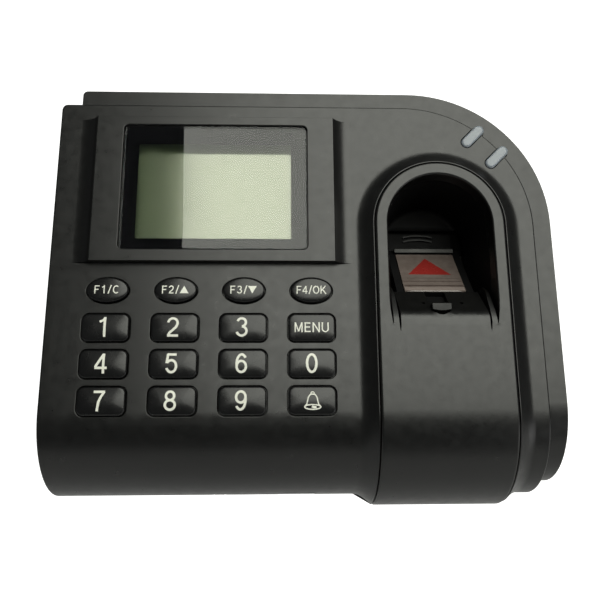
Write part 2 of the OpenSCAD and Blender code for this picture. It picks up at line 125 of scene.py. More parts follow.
def finish(name, me, mat, body, replaces=(), angle=32, weighted=True):
    ob = bpy.data.objects.new(name, me)
    bpy.context.scene.collection.objects.link(ob)
    for m in (mat if isinstance(mat, (list, tuple)) else [mat]):
        me.materials.append(m)
    me.polygons.foreach_set("use_smooth", [True] * len(me.polygons))
    me.set_sharp_from_angle(angle=math.radians(angle))
    if weighted:
        w = ob.modifiers.new("normals", "WEIGHTED_NORMAL")
        w.keep_sharp = True
        w.weight = 60
        w.mode = "FACE_AREA"
    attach(ob, body)
    if replaces:
        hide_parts(*replaces)
    return ob


def inside(px, py, loop):
    """Even-odd test for arrays of points."""
    x, y = np.array(loop)[:, 0], np.array(loop)[:, 1]
    x2, y2 = np.roll(x, -1), np.roll(y, -1)
    hit = np.zeros(px.shape, bool)
    for a, b, c, d in zip(x, y, x2, y2):
        if b == d:
            continue
        m = (b > py) != (d > py)
        hit ^= m & (px < (c - a) * (py - b) / (d - b) + a)
    return hit


def near(px, py, loop, dist):
    p = np.array(loop)
    q = np.roll(p, -1, 0)
    out = np.zeros(px.shape, bool)
    for (a, b), (c, d) in zip(p, q):
        l2 = (c - a) ** 2 + (d - b) ** 2
        t = np.clip(((px - a) * (c - a) + (py - b) * (d - b)) / max(l2, 1e-12), 0, 1)
        out |= (px - a - t * (c - a)) ** 2 + (py - b - t * (d - b)) ** 2 < dist * dist
    return out


def rows_between(y0, y1, flat=6.0, curved=1.45):
    """Sample heights between y0 (upper) and y1 (lower): coarse on the flat, fine over the chin."""
    ys = [y0]
    if y0 > CHY:
        e = max(y1, CHY)
        n = max(1, int(math.ceil((y0 - e) / flat)))
        ys += [y0 + (e - y0) * (i + 1) / n for i in range(n)]
    if y1 < CHY:
        s0 = min(y0, CHY)
        marks = [CHY - QUARTER * k / 32 for k in range(33)]
        ys += [m for m in marks if m < s0 - 0.3 and m > y1 + 0.3]
        ys.append(y1)
    out = []
    for y in ys:
        if not out or abs(out[-1] - y) > 1e-6:
            out.append(y)
    return out


def fill(b, loops, to3, step=(6.0, 6.0)):
    """Triangulates the region inside the first loop and outside the others."""
    pts, edges, seen = [], [], {}
    def vid(p):
        k = (round(p[0], 5), round(p[1], 5))
        if k not in seen:
            seen[k] = len(pts)
            pts.append(Vector((p[0], p[1])))
        return seen[k]
    for lp in loops:
        ids = [vid(p) for p in lp]
        edges += [(i, j) for i, j in zip(ids, ids[1:] + ids[:1]) if i != j]
    o = np.array(loops[0])
    x0, y0 = o.min(0)
    x1, y1 = o.max(0)
    gx = np.arange(x0 + step[0] / 2, x1, step[0])
    gy = [y for y in rows_between(y1, y0, step[1]) if y0 < y < y1]
    if gy and len(gx):
        X, Y = np.meshgrid(gx, np.array(gy))
        X, Y = X.ravel(), Y.ravel()
        ok = inside(X, Y, loops[0])
        for lp in loops[1:]:
            ok &= ~inside(X, Y, lp)
        for lp in loops:
            ok &= ~near(X, Y, lp, 0.9)
        for a, c in zip(X[ok], Y[ok]):
            vid((float(a), float(c)))
    vo, eo, fo, _, _, _ = geometry.delaunay_2d_cdt(pts, edges, [], 0, 1e-6)
    cxs = np.array([sum(vo[i][0] for i in f) / len(f) for f in fo])
    cys = np.array([sum(vo[i][1] for i in f) / len(f) for f in fo])
    ok = inside(cxs, cys, loops[0])
    for lp in loops[1:]:
        ok &= ~inside(cxs, cys, lp)
    for f, good in zip(fo, ok):
        if good:
            b.face([to3(vo[i][0], vo[i][1]) for i in f])


def arc(cx, cy, r, a0, a1, n):
    return [(cx + r * math.cos(math.radians(a0 + (a1 - a0) * i / n)),
             cy + r * math.sin(math.radians(a0 + (a1 - a0) * i / n))) for i in range(n + 1)]


def rrect(cx, cy, w, h, r, n=8):
    r = max(min(r, w / 2 - 1e-3, h / 2 - 1e-3), 0.02)
    out = []
    for sx, sy, a in ((1, 1, 0), (-1, 1, 90), (-1, -1, 180), (1, -1, 270)):
        out += arc(cx + sx * (w / 2 - r), cy + sy * (h / 2 - r), r, a, a + 90, n)
    return out


def oval(cx, cy, w, h, n=48):
    return [(cx + w / 2 * math.cos(2 * math.pi * i / n), cy + h / 2 * math.sin(2 * math.pi * i / n))
            for i in range(n)]


def pill(cx, cy, l, w, ang, n=10):
    c, s = math.cos(math.radians(ang)), math.sin(math.radians(ang))
    pts = arc((l - w) / 2, 0, w / 2, -90, 90, n) + arc(-(l - w) / 2, 0, w / 2, 90, 270, n)
    return [(cx + x * c - y * s, cy + x * s + y * c) for x, y in pts]


def outline(t, x0=0.0, x1=176.3, ytop=0.0, yend=YEND, rtr=47.5, rtl=2.2):
    """Open path up the left side, round the top and down the right side, moved in by t."""
    rt = max(rtl - t, 0.25)
    left = [(x0 + t, y) for y in rows_between(ytop - rtl, yend)][::-1]
    pts = left + arc(x0 + t + rt, ytop - t - rt, rt, 180, 90, 8)[0 if abs(rtl - t - rt) > 1e-9 else 1:]
    n = 14
    pts += [(x0 + rtl + (x1 - rtr - x0 - rtl) * i / n, ytop - t) for i in range(1, n)]
    pts += arc(x1 - rtr, ytop - rtr, rtr - t, 90, 0, 40)
    pts += [(x1 - t, y) for y in rows_between(ytop - rtr, yend)][1:]
    return pts


def pod_path(r, yend=YEND, y_from=None):
    """Open path up the left flank of the pod, round its arch and down the right flank."""
    left = [(POD_X - r, y) for y in rows_between(POD_Y, yend)][::-1]
    right = [(POD_X + r, y) for y in rows_between(POD_Y, yend)]
    return left[:-1] + arc(POD_X, POD_Y, r, 180, 0, 56) + right[1:]


# ------------------------------------------------------------------ materials
def nodes_of(name):
    m = bpy.data.materials.new(name)
    m.use_nodes = True
    nt = m.node_tree
    return m, nt, nt.nodes["Principled BSDF"]


def noise(nt, scale, detail=3.0, rough=0.5, stretch=None):
    tc = nt.nodes.new("ShaderNodeTexCoord")
    mp = nt.nodes.new("ShaderNodeMapping")
    if stretch:
        mp.inputs["Scale"].default_value = stretch
    n = nt.nodes.new("ShaderNodeTexNoise")
    n.inputs["Scale"].default_value = scale
    n.inputs["Detail"].default_value = detail
    n.inputs["Roughness"].default_value = rough
    nt.links.new(tc.outputs["Object"], mp.inputs["Vector"])
    nt.links.new(mp.outputs["Vector"], n.inputs["Vector"])
    return n


def ramp(nt, src, a, b, lo, hi):
    r = nt.nodes.new("ShaderNodeMapRange")
    r.inputs["From Min"].default_value = a
    r.inputs["From Max"].default_value = b
    r.inputs["To Min"].default_value = lo
    r.inputs["To Max"].default_value = hi
    nt.links.new(src, r.inputs["Value"])
    return r.outputs["Result"]


def mixcol(nt, fac, c1, c2):
    m = nt.nodes.new("ShaderNodeMix")
    m.data_type = "RGBA"
    m.inputs["A"].default_value = (*c1, 1)
    m.inputs["B"].default_value = (*c2, 1)
    nt.links.new(fac, m.inputs["Factor"])
    return m.outputs["Result"]


def plastic(name, col, rough=0.4, grain=9000.0, bump=0.25, dist=0.00002, vary=0.15, coat=0.0,
            rough_vary=0.05, spec=0.5, patch=60.0):
    m, nt, p = nodes_of(name)
    big = noise(nt, patch, 4)
    c1 = tuple(c * (1 - vary) for c in col)
    c2 = tuple(min(1, c * (1 + vary)) for c in col)
    nt.links.new(mixcol(nt, ramp(nt, big.outputs["Fac"], 0.3, 0.7, 0, 1), c1, c2), p.inputs["Base Color"])
    mid = noise(nt, patch * 5, 6, 0.6)
    nt.links.new(ramp(nt, mid.outputs["Fac"], 0.3, 0.7, rough - rough_vary, rough + rough_vary),
                 p.inputs["Roughness"])
    fine = noise(nt, grain, 2)
    bp = nt.nodes.new("ShaderNodeBump")
    bp.inputs["Strength"].default_value = bump
    bp.inputs["Distance"].default_value = dist
    nt.links.new(fine.outputs["Fac"], bp.inputs["Height"])
    nt.links.new(bp.outputs["Normal"], p.inputs["Normal"])
    p.inputs["Specular IOR Level"].default_value = spec
    if coat:
        p.inputs["Coat Weight"].default_value = coat
        p.inputs["Coat Roughness"].default_value = 0.08
    return m


def metal(name, col, rough=0.35, brushed=(1, 1, 1), grain=3000.0, bump=0.15, vary=0.12):
    m, nt, p = nodes_of(name)
    p.inputs["Metallic"].default_value = 1.0
    n = noise(nt, grain, 4, 0.6, brushed)
    c1 = tuple(c * (1 - vary) for c in col)
    nt.links.new(mixcol(nt, ramp(nt, n.outputs["Fac"], 0.3, 0.7, 0, 1), c1, col), p.inputs["Base Color"])
    n2 = noise(nt, 120, 6, 0.65)
    nt.links.new(ramp(nt, n2.outputs["Fac"], 0.3, 0.7, rough - 0.08, rough + 0.1), p.inputs["Roughness"])
    bp = nt.nodes.new("ShaderNodeBump")
    bp.inputs["Strength"].default_value = bump
    bp.inputs["Distance"].default_value = 0.00002
    nt.links.new(n.outputs["Fac"], bp.inputs["Height"])
    nt.links.new(bp.outputs["Normal"], p.inputs["Normal"])
    return m


def board(name, col):
    """Solder mask over copper tracks."""
    m, nt, p = nodes_of(name)
    tc = nt.nodes.new("ShaderNodeTexCoord")
    v = nt.nodes.new("ShaderNodeTexVoronoi")
    v.distance = "MANHATTAN"
    v.feature = "DISTANCE_TO_EDGE" if False else "F1"
    v.inputs["Scale"].default_value = 260
    nt.links.new(tc.outputs["Object"], v.inputs["Vector"])
    f = ramp(nt, v.outputs["Distance"], 0.35, 0.42, 0, 1)
    nt.links.new(mixcol(nt, f, col, tuple(min(1, c * 1.7 + 0.01) for c in col)), p.inputs["Base Color"])
    bp = nt.nodes.new("ShaderNodeBump")
    bp.inputs["Strength"].default_value = 0.3
    bp.inputs["Distance"].default_value = 0.00004
    nt.links.new(f, bp.inputs["Height"])
    nt.links.new(bp.outputs["Normal"], p.inputs["Normal"])
    n = noise(nt, 500, 4)
    nt.links.new(ramp(nt, n.outputs["Fac"], 0.3, 0.7, 0.25, 0.4), p.inputs["Roughness"])
    return m


M = {}
M["cover_plastic"] = plastic("cover_plastic", (0.0052, 0.0052, 0.005), 0.32, 5200, 0.16, 0.00003)
M["housing_plastic"] = plastic("housing_plastic", (0.0052, 0.0052, 0.005), 0.34, 5200, 0.2, 0.00003)
# painted shade: the liner is the black plastic with its specular level cut almost to nothing, so the recess walls stay
# as dark as in shade instead of reflecting the lights
M["liner_plastic"] = plastic("liner_plastic", (0.0062, 0.0062, 0.0064), 0.5, 4200, 0.3, 0.00003, spec=0.06)
# painted shade: the trough floor is a darker copy of the black plastic with almost no specular, standing in for the
# shade at the bottom of the recess
M["trough_shade_plastic"] = plastic("trough_shade_plastic", (0.0022, 0.0022, 0.0023), 0.6, 4200, 0.4, 0.00003, spec=0.03)
# painted highlight: the ribs are a lighter copy of the black plastic, so they show as the pale curved highlight lines
# across the trough
M["rib_highlight_plastic"] = plastic("rib_highlight_plastic", (0.012, 0.012, 0.012), 0.42, 4200, 0.2, 0.00002, spec=0.22)
M["stop_plastic"] = plastic("stop_plastic", (0.0052, 0.0052, 0.005), 0.4, 4200, 0.15, 0.00002, spec=0.28)
M["key_plastic"] = plastic("key_plastic", (0.005, 0.005, 0.0052), 0.26, 2500, 0.05, 0.00002, rough_vary=0.03, spec=0.43)
M["legend"] = plastic("legend_print", (0.74, 0.74, 0.66), 0.5, 6000, 0.2, 0.00001, vary=0.06)
M["plate_steel"] = metal("plate_steel", (0.56, 0.57, 0.58), 0.38, (1, 1, 6), 1500)
M["tin"] = metal("tin", (0.66, 0.66, 0.65), 0.3)
M["clip_metal"] = metal("clip_metal", (0.045, 0.045, 0.044), 0.5)
M["cell_steel"] = metal("cell_steel", (0.75, 0.75, 0.74), 0.18)
M["screw_steel"] = metal("screw_steel", (0.62, 0.62, 0.62), 0.28)
M["board"] = board("board_mask", (0.012, 0.09, 0.045))
M["black_part"] = plastic("black_part", (0.018, 0.018, 0.02), 0.5, 3000, 0.3)
M["terminal_plastic"] = plastic("terminal_plastic", (0.02, 0.19, 0.06), 0.4, 3000, 0.2)
M["relay_plastic"] = plastic("relay_plastic", (0.015, 0.07, 0.32), 0.25, 3000, 0.1)
M["nylon"] = plastic("nylon", (0.62, 0.62, 0.56), 0.45, 3000, 0.2)
M["mat_rubber"] = plastic("mat_rubber", (0.05, 0.05, 0.055), 0.7, 3000, 0.4)
M["ribbon"] = plastic("ribbon_film", (0.45, 0.36, 0.2), 0.3, 3000, 0.1)
M["diffuser"] = plastic("diffuser", (0.8, 0.83, 0.72), 0.5, 3000, 0.1)


def clear(name, col=(1, 1, 1), rough=0.004, ior=1.32):
    m, nt, p = nodes_of(name)
    p.inputs["Transmission Weight"].default_value = 1.0
    p.inputs["IOR"].default_value = ior
    p.inputs["Base Color"].default_value = (*col, 1)
    n = noise(nt, 90, 3)
    nt.links.new(ramp(nt, n.outputs["Fac"], 0.3, 0.7, rough, rough + 0.012), p.inputs["Roughness"])
    return m


M["lens"] = clear("lens_clear")
ntl = M["lens"].node_tree
nl = noise(ntl, 16, 0, 0.3)
bl = ntl.nodes.new("ShaderNodeBump")
bl.inputs["Strength"].default_value = 0.35
bl.inputs["Distance"].default_value = 0.0004
ntl.links.new(nl.outputs["Fac"], bl.inputs["Height"])
ntl.links.new(bl.outputs["Normal"], ntl.nodes["Principled BSDF"].inputs["Normal"])
M["lens_print"] = plastic("lens_print", (0.004, 0.004, 0.0045), 0.6, 3000, 0.05, vary=0.05, spec=0.0)

m, nt, p = nodes_of("pipe_frosted")
n = noise(nt, 900, 4)
nt.links.new(mixcol(nt, n.outputs["Fac"], (0.215, 0.238, 0.268), (0.235, 0.262, 0.295)), p.inputs["Base Color"])
nt.links.new(ramp(nt, n.outputs["Fac"], 0.3, 0.7, 0.13, 0.17), p.inputs["Roughness"])
p.inputs["Subsurface Weight"].default_value = 0.35
p.inputs["Subsurface Radius"].default_value = (0.002, 0.002, 0.0022)
M["light_pipe"] = m

# the display cell: grey green with the faint row and column grid of its dots
m, nt, p = nodes_of("lcd_cell")
tc = nt.nodes.new("ShaderNodeTexCoord")
sep = nt.nodes.new("ShaderNodeSeparateXYZ")
nt.links.new(tc.outputs["Object"], sep.inputs["Vector"])
def grid_line(axis, pitch):
    a = nt.nodes.new("ShaderNodeMath"); a.operation = "MULTIPLY"; a.inputs[1].default_value = 1 / pitch
    nt.links.new(sep.outputs[axis], a.inputs[0])
    f = nt.nodes.new("ShaderNodeMath"); f.operation = "FRACT"
    nt.links.new(a.outputs[0], f.inputs[0])
    g = nt.nodes.new("ShaderNodeMath"); g.operation = "GREATER_THAN"; g.inputs[1].default_value = 0.9
    nt.links.new(f.outputs[0], g.inputs[0])
    return g.outputs[0]
mx = nt.nodes.new("ShaderNodeMath"); mx.operation = "MAXIMUM"
nt.links.new(grid_line("X", 0.00044), mx.inputs[0])
nt.links.new(grid_line("Z", 0.0006), mx.inputs[1])
n = noise(nt, 40, 4)
base = mixcol(nt, n.outputs["Fac"], (0.100, 0.128, 0.070), (0.125, 0.155, 0.090))
mm = nt.nodes.new("ShaderNodeMix"); mm.data_type = "RGBA"
nt.links.new(base, mm.inputs["A"])
mm.inputs["B"].default_value = (0.102, 0.130, 0.072, 1)
nt.links.new(mx.outputs[0], mm.inputs["Factor"])
nt.links.new(mm.outputs["Result"], p.inputs["Base Color"])
nt.links.new(ramp(nt, n.outputs["Fac"], 0.3, 0.7, 0.10, 0.14), p.inputs["Roughness"])
p.inputs["IOR"].default_value = 2.05
p.inputs["Specular Tint"].default_value = (0.93, 0.97, 0.78, 1)
M["lcd"] = m

m, nt, p = nodes_of("sensor_window")
n = noise(nt, 300, 5, 0.6)
nt.links.new(mixcol(nt, ramp(nt, n.outputs["Fac"], 0.3, 0.7, 0, 1), (0.112, 0.089, 0.079), (0.150, 0.123, 0.111)),
             p.inputs["Base Color"])
nt.links.new(ramp(nt, n.outputs["Fac"], 0.3, 0.7, 0.06, 0.16), p.inputs["Roughness"])
p.inputs["Coat Weight"].default_value = 0.5
M["sensor_glass"] = m
M["window_edge"] = plastic("window_edge", (0.20, 0.165, 0.15), 0.3, 2500, 0.05, vary=0.1)
M["arrow"] = plastic("arrow_mark", (0.21, 0.018, 0.015), 0.25, 2500, 0.05, vary=0.1)
M["arrow_edge"] = plastic("window_lines", (0.055, 0.038, 0.033), 0.3, 2500, 0.05)

# ---------------------------------------------------------------- front cover
F = 0.7                                     # fillet along the outline of the cover
b = Build()
out = [outline(F * (1 - math.sin(math.radians(90 * k / 5)))) for k in range(6)]
dep = [-F * (1 - math.cos(math.radians(90 * k / 5))) for k in range(6)]
b.loft([[bend(x, y, d) for x, y in o] for o, d in zip(out, dep)])


def wall_pt(x, y, z):
    p = bend(x, y, -F)
    return (p[0], (-z - DEPTH) * MM, p[2])


top = [bend(x, y, -F) for x, y in out[-1]]
low = [wall_pt(x, y, -31.2) for x, y in out[-1]]
b.strip(top, low)
T = 2.5
o_in = outline(T)
low_in = [(bend(x, y, -T)[0], (31.2 - DEPTH) * MM, bend(x, y, -T)[2]) for x, y in o_in]
b.strip(low, low_in)
b.strip(low_in, [bend(x, y, -T) for x, y in o_in])

PLX0, PLX1, PLY0, PLY1, PH = 7.9, 108.8, -62.4, -6.5, 3.4
holes, walls = [], []
plateau_hole = [(PLX0, PLY0), (PLX1, PLY0), (PLX1, PLY1), (PLX0, PLY1)]
KF = 0.35                                   # fillet round each key opening
for j, ky in enumerate(KEY_Y):
    for kx in KEY_X:
        def shape(t, kx=kx, ky=ky, j=j):
            if j == 0:
                return oval(kx, ky, 15.3 + 2 * t, 9.5 + 2 * t)
            return rrect(kx, ky, 17.0 + 2 * t, 10.3 + 2 * t, 2.6 + t)
        holes.append(shape(KF))
        lo = [[bend(x, y, -KF * (1 - math.cos(math.radians(90 * k / 4)))) for x, y in
               shape(KF * (1 - math.sin(math.radians(90 * k / 4))))] for k in range(5)]
        lo.append([bend(x, y, -T) for x, y in shape(0)])
        b.loft(lo, True)
        walls.append(shape(0))
PIPES = [(155.7, -11.8), (164.35, -20.2)]
PIPE_ANG = 45.4
# face: outline, round the foot of the skirt
skirt_out = pod_path(30.7)
face = out[0] + skirt_out[::-1]
pipe_cut = []
for px, py in PIPES:
    pipe_cut.append(pill(px, py, 11.8, 4.7, PIPE_ANG))


def clip_pill(poly, keep):
    return [p for p in poly if keep(p)]


# the light pipes cross the edge: the slot opens into the outline, so cut them with a boolean later
fill(b, [face, plateau_hole] + holes, lambda x, y: bend(x, y, 0))
inner = o_in + pod_path(23.95)[::-1]
fill(b, [inner] + walls + [rrect(58.45, -33.95, 60.5, 41.5, 1.0)], lambda x, y: bend(x, y, -T))
# skirt: soft hollow foot, straight flank, small rounded top edge
prof = []
for k in range(15):
    u = k / 14
    r = 30.7 - 6.35 * u
    h = 3.4 * (1.32 * u * u - 0.32 * u * u * u) if u < 1 else 3.4
    prof.append((r, h))
prof += [(24.1, 3.44), (23.98, 3.36), (23.95, 3.2), (23.95, -T)]
b.loft([[bend(x, y, h) for x, y in pod_path(r)] for r, h in prof])
# plateau with concave flares
px = []
for k in range(10):
    x = PLX0 + 6.6 * k / 9
    px.append((x, 8.5 - math.sqrt(8.5 ** 2 - (x - PLX0) ** 2)))
px += [(14.62, 3.315), (14.78, 3.39), (15.0, PH)]
right = [(PLX0 + PLX1 - x, z) for x, z in px][::-1]
E = 0.22


def plat_rows(profile):
    rowsets = []
    for y, s in ((PLY1, 1), (PLY0, -1)):
        pass
    a0 = [row(x, PLY1, 0) for x, z in profile]
    a1 = [row(x, PLY1, max(z - E, 0)) for x, z in profile]
    a2 = [row(x, PLY1 - 0.3 * min(E, z), max(z - 0.3 * min(E, z), 0)) for x, z in profile]
    a3 = [row(x, PLY1 - min(E, z), z) for x, z in profile]
    c3 = [row(x, PLY0 + min(E, z), z) for x, z in profile]
    c2 = [row(x, PLY0 + 0.3 * min(E, z), max(z - 0.3 * min(E, z), 0)) for x, z in profile]
    c1 = [row(x, PLY0, max(z - E, 0)) for x, z in profile]
    c0 = [row(x, PLY0, 0) for x, z in profile]
    return a0, a1, a2, a3, c3, c2, c1, c0


for profile in (px, right):
    b.loft(plat_rows(profile))
topline = [(x, PH) for x in np.linspace(15.0, 101.7, 12)]
a0, a1, a2, a3, c3, c2, c1, c0 = plat_rows(topline)
b.loft([a0, a1, a2, a3])
b.loft([c3, c2, c1, c0])
win = lambda t: rrect(58.45, -33.95, 67.7 + 2 * t, 48.3 + 2 * t, 1.8 + t)
border = [(x, PLY1 - E) for x in np.linspace(15.0, 101.7, 12)] + \
         [(x, PLY0 + E) for x in np.linspace(101.7, 15.0, 12)]
fill(b, [border, win(0.3)], lambda x, y: row(x, y, PH), (9, 9))
b.loft([[row(x, y, PH - 0.3 * (1 - math.cos(math.radians(22.5 * k)))) for x, y in
         win(0.3 * (1 - math.sin(math.radians(22.5 * k))))] for k in range(5)]
       + [[row(x, y, 1.4) for x, y in win(0)],
          [row(x, y, 1.4) for x, y in rrect(58.45, -33.95, 60.5, 41.5, 1.0)],
          [row(x, y, -T) for x, y in rrect(58.45, -33.95, 60.5, 41.5, 1.0)]], True)
front = b.make("front_cover_shell", M["cover_plastic"], "housing", ["front_cover"])


def cutter(name, polys):
    c = Build()
    for loops, caps in polys:
        c.loft(loops, True)
        c.face(caps[0])
        c.face(caps[1][::-1])
    me = bpy.data.meshes.new(name)
    me.from_pydata(c.v, [], c.f)
    bm = bmesh.new(); bm.from_mesh(me)
    bmesh.ops.recalc_face_normals(bm, faces=bm.faces)
    bm.to_mesh(me); bm.free()
    ob = bpy.data.objects.new(name, me)
    bpy.context.scene.collection.objects.link(ob)
    return ob


def cut(ob, cut_ob):
    """Subtracts and applies, keeping the object's other modifiers."""
    md = ob.modifiers.new("cut", "BOOLEAN")
    md.operation = "DIFFERENCE"
    md.solver = "EXACT"
    md.object = cut_ob
    while ob.modifiers[0] != md:
        ob.modifiers.move(ob.modifiers.find(md.name), 0)
    for o in ob.modifiers:
        o.show_viewport = o == md
    dg = bpy.context.evaluated_depsgraph_get()
    me = bpy.data.meshes.new_from_object(ob.evaluated_get(dg))
    ob.modifiers.remove(md)
    old = ob.data
    mats = [m for m in old.materials]
    ob.data = me
    me.materials.clear()
    for m_ in mats:
        me.materials.append(m_)
    for o in ob.modifiers:
        o.show_viewport = True
    me.set_sharp_from_angle(angle=math.radians(32))
    bpy.data.objects.remove(cut_ob)


# ---------------------------------------------------------------- sensor bezel
PD = 4.0
b = Build()
RF = 0.9
outer = [(23.7 - RF * (1 - math.sin(math.radians(90 * k / 6))), PD - RF * (1 - math.cos(math.radians(90 * k / 6))))
         for k in range(7)]
b.loft([[bend(x, y, h) for x, y in pod_path(r)] for r, h in outer] +
       [[bend(x, y, -T) for x, y in pod_path(23.7)]])


def opening(t):
    """The recess mouth, moved out by t round the hood; the tips of the slits stay put."""
    def half(sign):
        pts = []
        for y in [POD_Y - 2.0 * k for k in range(1, 17)] + [-81.5, -83.0, -84.2]:
            w = min(1.0, max(0.0, (y + 84.8) / 9.0))
            e = 0.0 if y > -80 else 0.42 * ((-80 - y) / 5.2)
            pts.append((sign * (19.05 + t * w - e), y))
        pts += [(sign * 18.5, -85.3), (sign * 18.4, -84.9), (sign * 16.35, -84.9), (sign * 16.25, -86.4),
                (sign * 16.0, -87.9), (sign * 15.75, -86.4), (sign * 15.7, -85.4)]
        return [(POD_X + x, y) for x, y in pts]
    arch = arc(POD_X, POD_Y, 19.05 + t, 180, 0, 56)
    return half(-1)[::-1] + arch + half(1)


IF = 0.8
mouth0 = opening(IF)
face = pod_path(outer[0][0])
lower = [(POD_X + 22.8 - 45.6 * k / 10, YEND) for k in range(1, 10)]
fill(b, [face + lower, mouth0], lambda x, y: bend(x, y, PD), (3.0, 3.5))
loops = []
for k in range(6):
    a = math.radians(90 * k / 5)
    pts = []
    for (x0_, y0_), (x1_, y1_) in zip(opening(IF), opening(0)):
        f = math.sin(a)
        w = min(1.0, math.hypot(x0_ - x1_, y0_ - y1_) / IF)
        pts.append(bend(x0_ + (x1_ - x0_) * f, y0_ + (y1_ - y0_) * f, PD - IF * w * (1 - math.cos(a))))
    loops.append(pts)
loops.append([bend(x, y, 0.6) for x, y in opening(0)])
loops.append([bend(x, y, -2.0) for x, y in opening(-0.25)])
b.loft(loops)
# the finger ramp rolls off the face and runs down to the window
END = sp(25.7, 0)
CORNER_Y = END[0] - (PD - END[1]) / math.tan(RSLOPE)
ROLL_T = ROLL * math.tan(RSLOPE / 2)
ROLL_Y = CORNER_Y - ROLL_T
ARC_L = ROLL * RSLOPE
LEN = ARC_L + math.hypot(END[0] - CORNER_Y, END[1] - PD) - ROLL_T


def on_ramp(x, s, d=0.0):
    a = max(0.0, min(s / ROLL, RSLOPE))
    y, z = ROLL_Y + ROLL * math.sin(a), PD - ROLL + ROLL * math.cos(a)
    if s < 0:
        y += s
    if s > ARC_L:
        y += (s - ARC_L) * math.cos(RSLOPE)
        z -= (s - ARC_L) * math.sin(RSLOPE)
    return row(POD_X + x, y + d * math.sin(a), z + d * math.cos(a))


def s_of(y):
    if y < ROLL_Y + ROLL * math.sin(RSLOPE):
        return ROLL * math.asin((y - ROLL_Y) / ROLL)
    return ARC_L + (y - ROLL_Y - ROLL * math.sin(RSLOPE)) / math.cos(RSLOPE)


RW = 15.7
NS = s_of(-76.2)
S0 = -85.4 - ROLL_Y
side = [S0, S0 / 2] + list(np.linspace(0, LEN, 19))
rim = [(-RW, s_) for s_ in side] + [(-9.0, LEN), (-4.6, LEN), (-4.6, NS + 0.5), (-4.1, NS), (2.4, NS), (2.9, NS + 0.5),
                                    (2.9, LEN), (9.0, LEN)] + [(RW, s_) for s_ in side[::-1]]
rim += [(x, S0) for x in np.linspace(RW, -RW, 13)[1:-1]]
dots = [oval(x, s_of(-76.5), 1.5, 1.5, 20) for x in (-6.4, 7.5)]
moon = [(-0.8 + 3.8 * u, 2.7 + 2.5 * u * u) for u in np.linspace(-1, 1, 15)] + \
       [(-0.8 + 3.7 * u, 4.7 + 0.55 * u * u) for u in np.linspace(0.97, -0.97, 13)]
fill(b, [rim] + dots + [moon], lambda x, s_: on_ramp(x, s_), (2.0, 0.9))
for lp_ in dots + [moon]:
    b.loft([[on_ramp(x, s_) for x, s_ in lp_], [on_ramp(x, s_, -1.8) for x, s_ in lp_]], True)
edge = [(-RW, s_) for s_ in side] + [(-9.0, LEN), (-4.6, LEN), (-4.6, NS + 0.5), (-4.1, NS), (2.4, NS), (2.9, NS + 0.5),
                                     (2.9, LEN), (9.0, LEN)] + [(RW, s_) for s_ in side[::-1]]
b.loft([[on_ramp(x, s_, d) for x, s_ in edge] for d in (0, -2.0)])
# small finger stop standing on the ramp between the half moon and the notch
def stop_loop(t, z):
    pts = [(-4.3 + t, -77.6 - t), (2.5 - t, -77.6 - t)]
    pts += [(-0.9 + (3.4 - t) * u, -80.35 + t + 0.5 * u * u) for u in np.linspace(1, -1, 11)]
    return [row(POD_X + x, y, z) for x, y in pts]
st_ = Build()
st_.loft([stop_loop(0, -1.0), stop_loop(0, 3.1), stop_loop(0.08, 3.3), stop_loop(0.28, 3.38)], True)
st_.face(stop_loop(0.28, 3.38))
st_.make("sensor_bezel_stop", M["stop_plastic"], "housing")
# the two side strips between the slits
SP = [(-84.9, 4.0, 16.35, 18.4), (-84.4, 4.0, 16.36, 18.38), (-83.4, 3.8, 16.38, 18.36), (-82.2, 3.35, 16.4, 18.33), (-80.6, 2.6, 16.43, 18.3),
      (-79.0, 1.75, 16.47, 18.25), (-77.0, 0.6, 16.52, 18.2), (-75.0, -0.6, 16.6, 18.1), (-73.0, -1.9, 16.7, 18.0),
      (-71.2, -3.6, 16.85, 17.8), (-69.6, -6.5, 16.95, 17.6)]
for sgn in (-1, 1):
    rowsx = []
    for y, z, xa, xb in SP:
        e_ = 0.12
        prof_ = [(xa, z - 5), (xa, z - e_), (xa + 0.3 * e_, z - 0.3 * e_), (xa + e_, z), ((xa + xb) / 2, z), (xb - e_, z),
                 (xb - 0.3 * e_, z - 0.3 * e_), (xb, z - e_), (xb, z - 5)]
        rowsx.append([row(POD_X + sgn * x, y, zz) for x, zz in prof_])
    b.loft(rowsx)
bez = b.make("sensor_bezel_shell", M["cover_plastic"], "housing", ["sensor_bezel"], angle=38)

# ---------------------------------------------------------------- recess liner
b = Build()
prof = [(18.7, -1.6), (18.2, -8), (17.6, -16), (17.0, -24), (16.8, -26.6), (16.5, -27.3), (15.9, -27.7), (15.2, -27.8)]


def hood_path(r, ylow):
    left = [(POD_X - r, y) for y in np.linspace(ylow, POD_Y, 8)]
    rt = [(POD_X + r, y) for y in np.linspace(POD_Y, ylow, 8)]
    return left[:-1] + arc(POD_X, POD_Y, r, 180, 0, 48) + rt[1:]


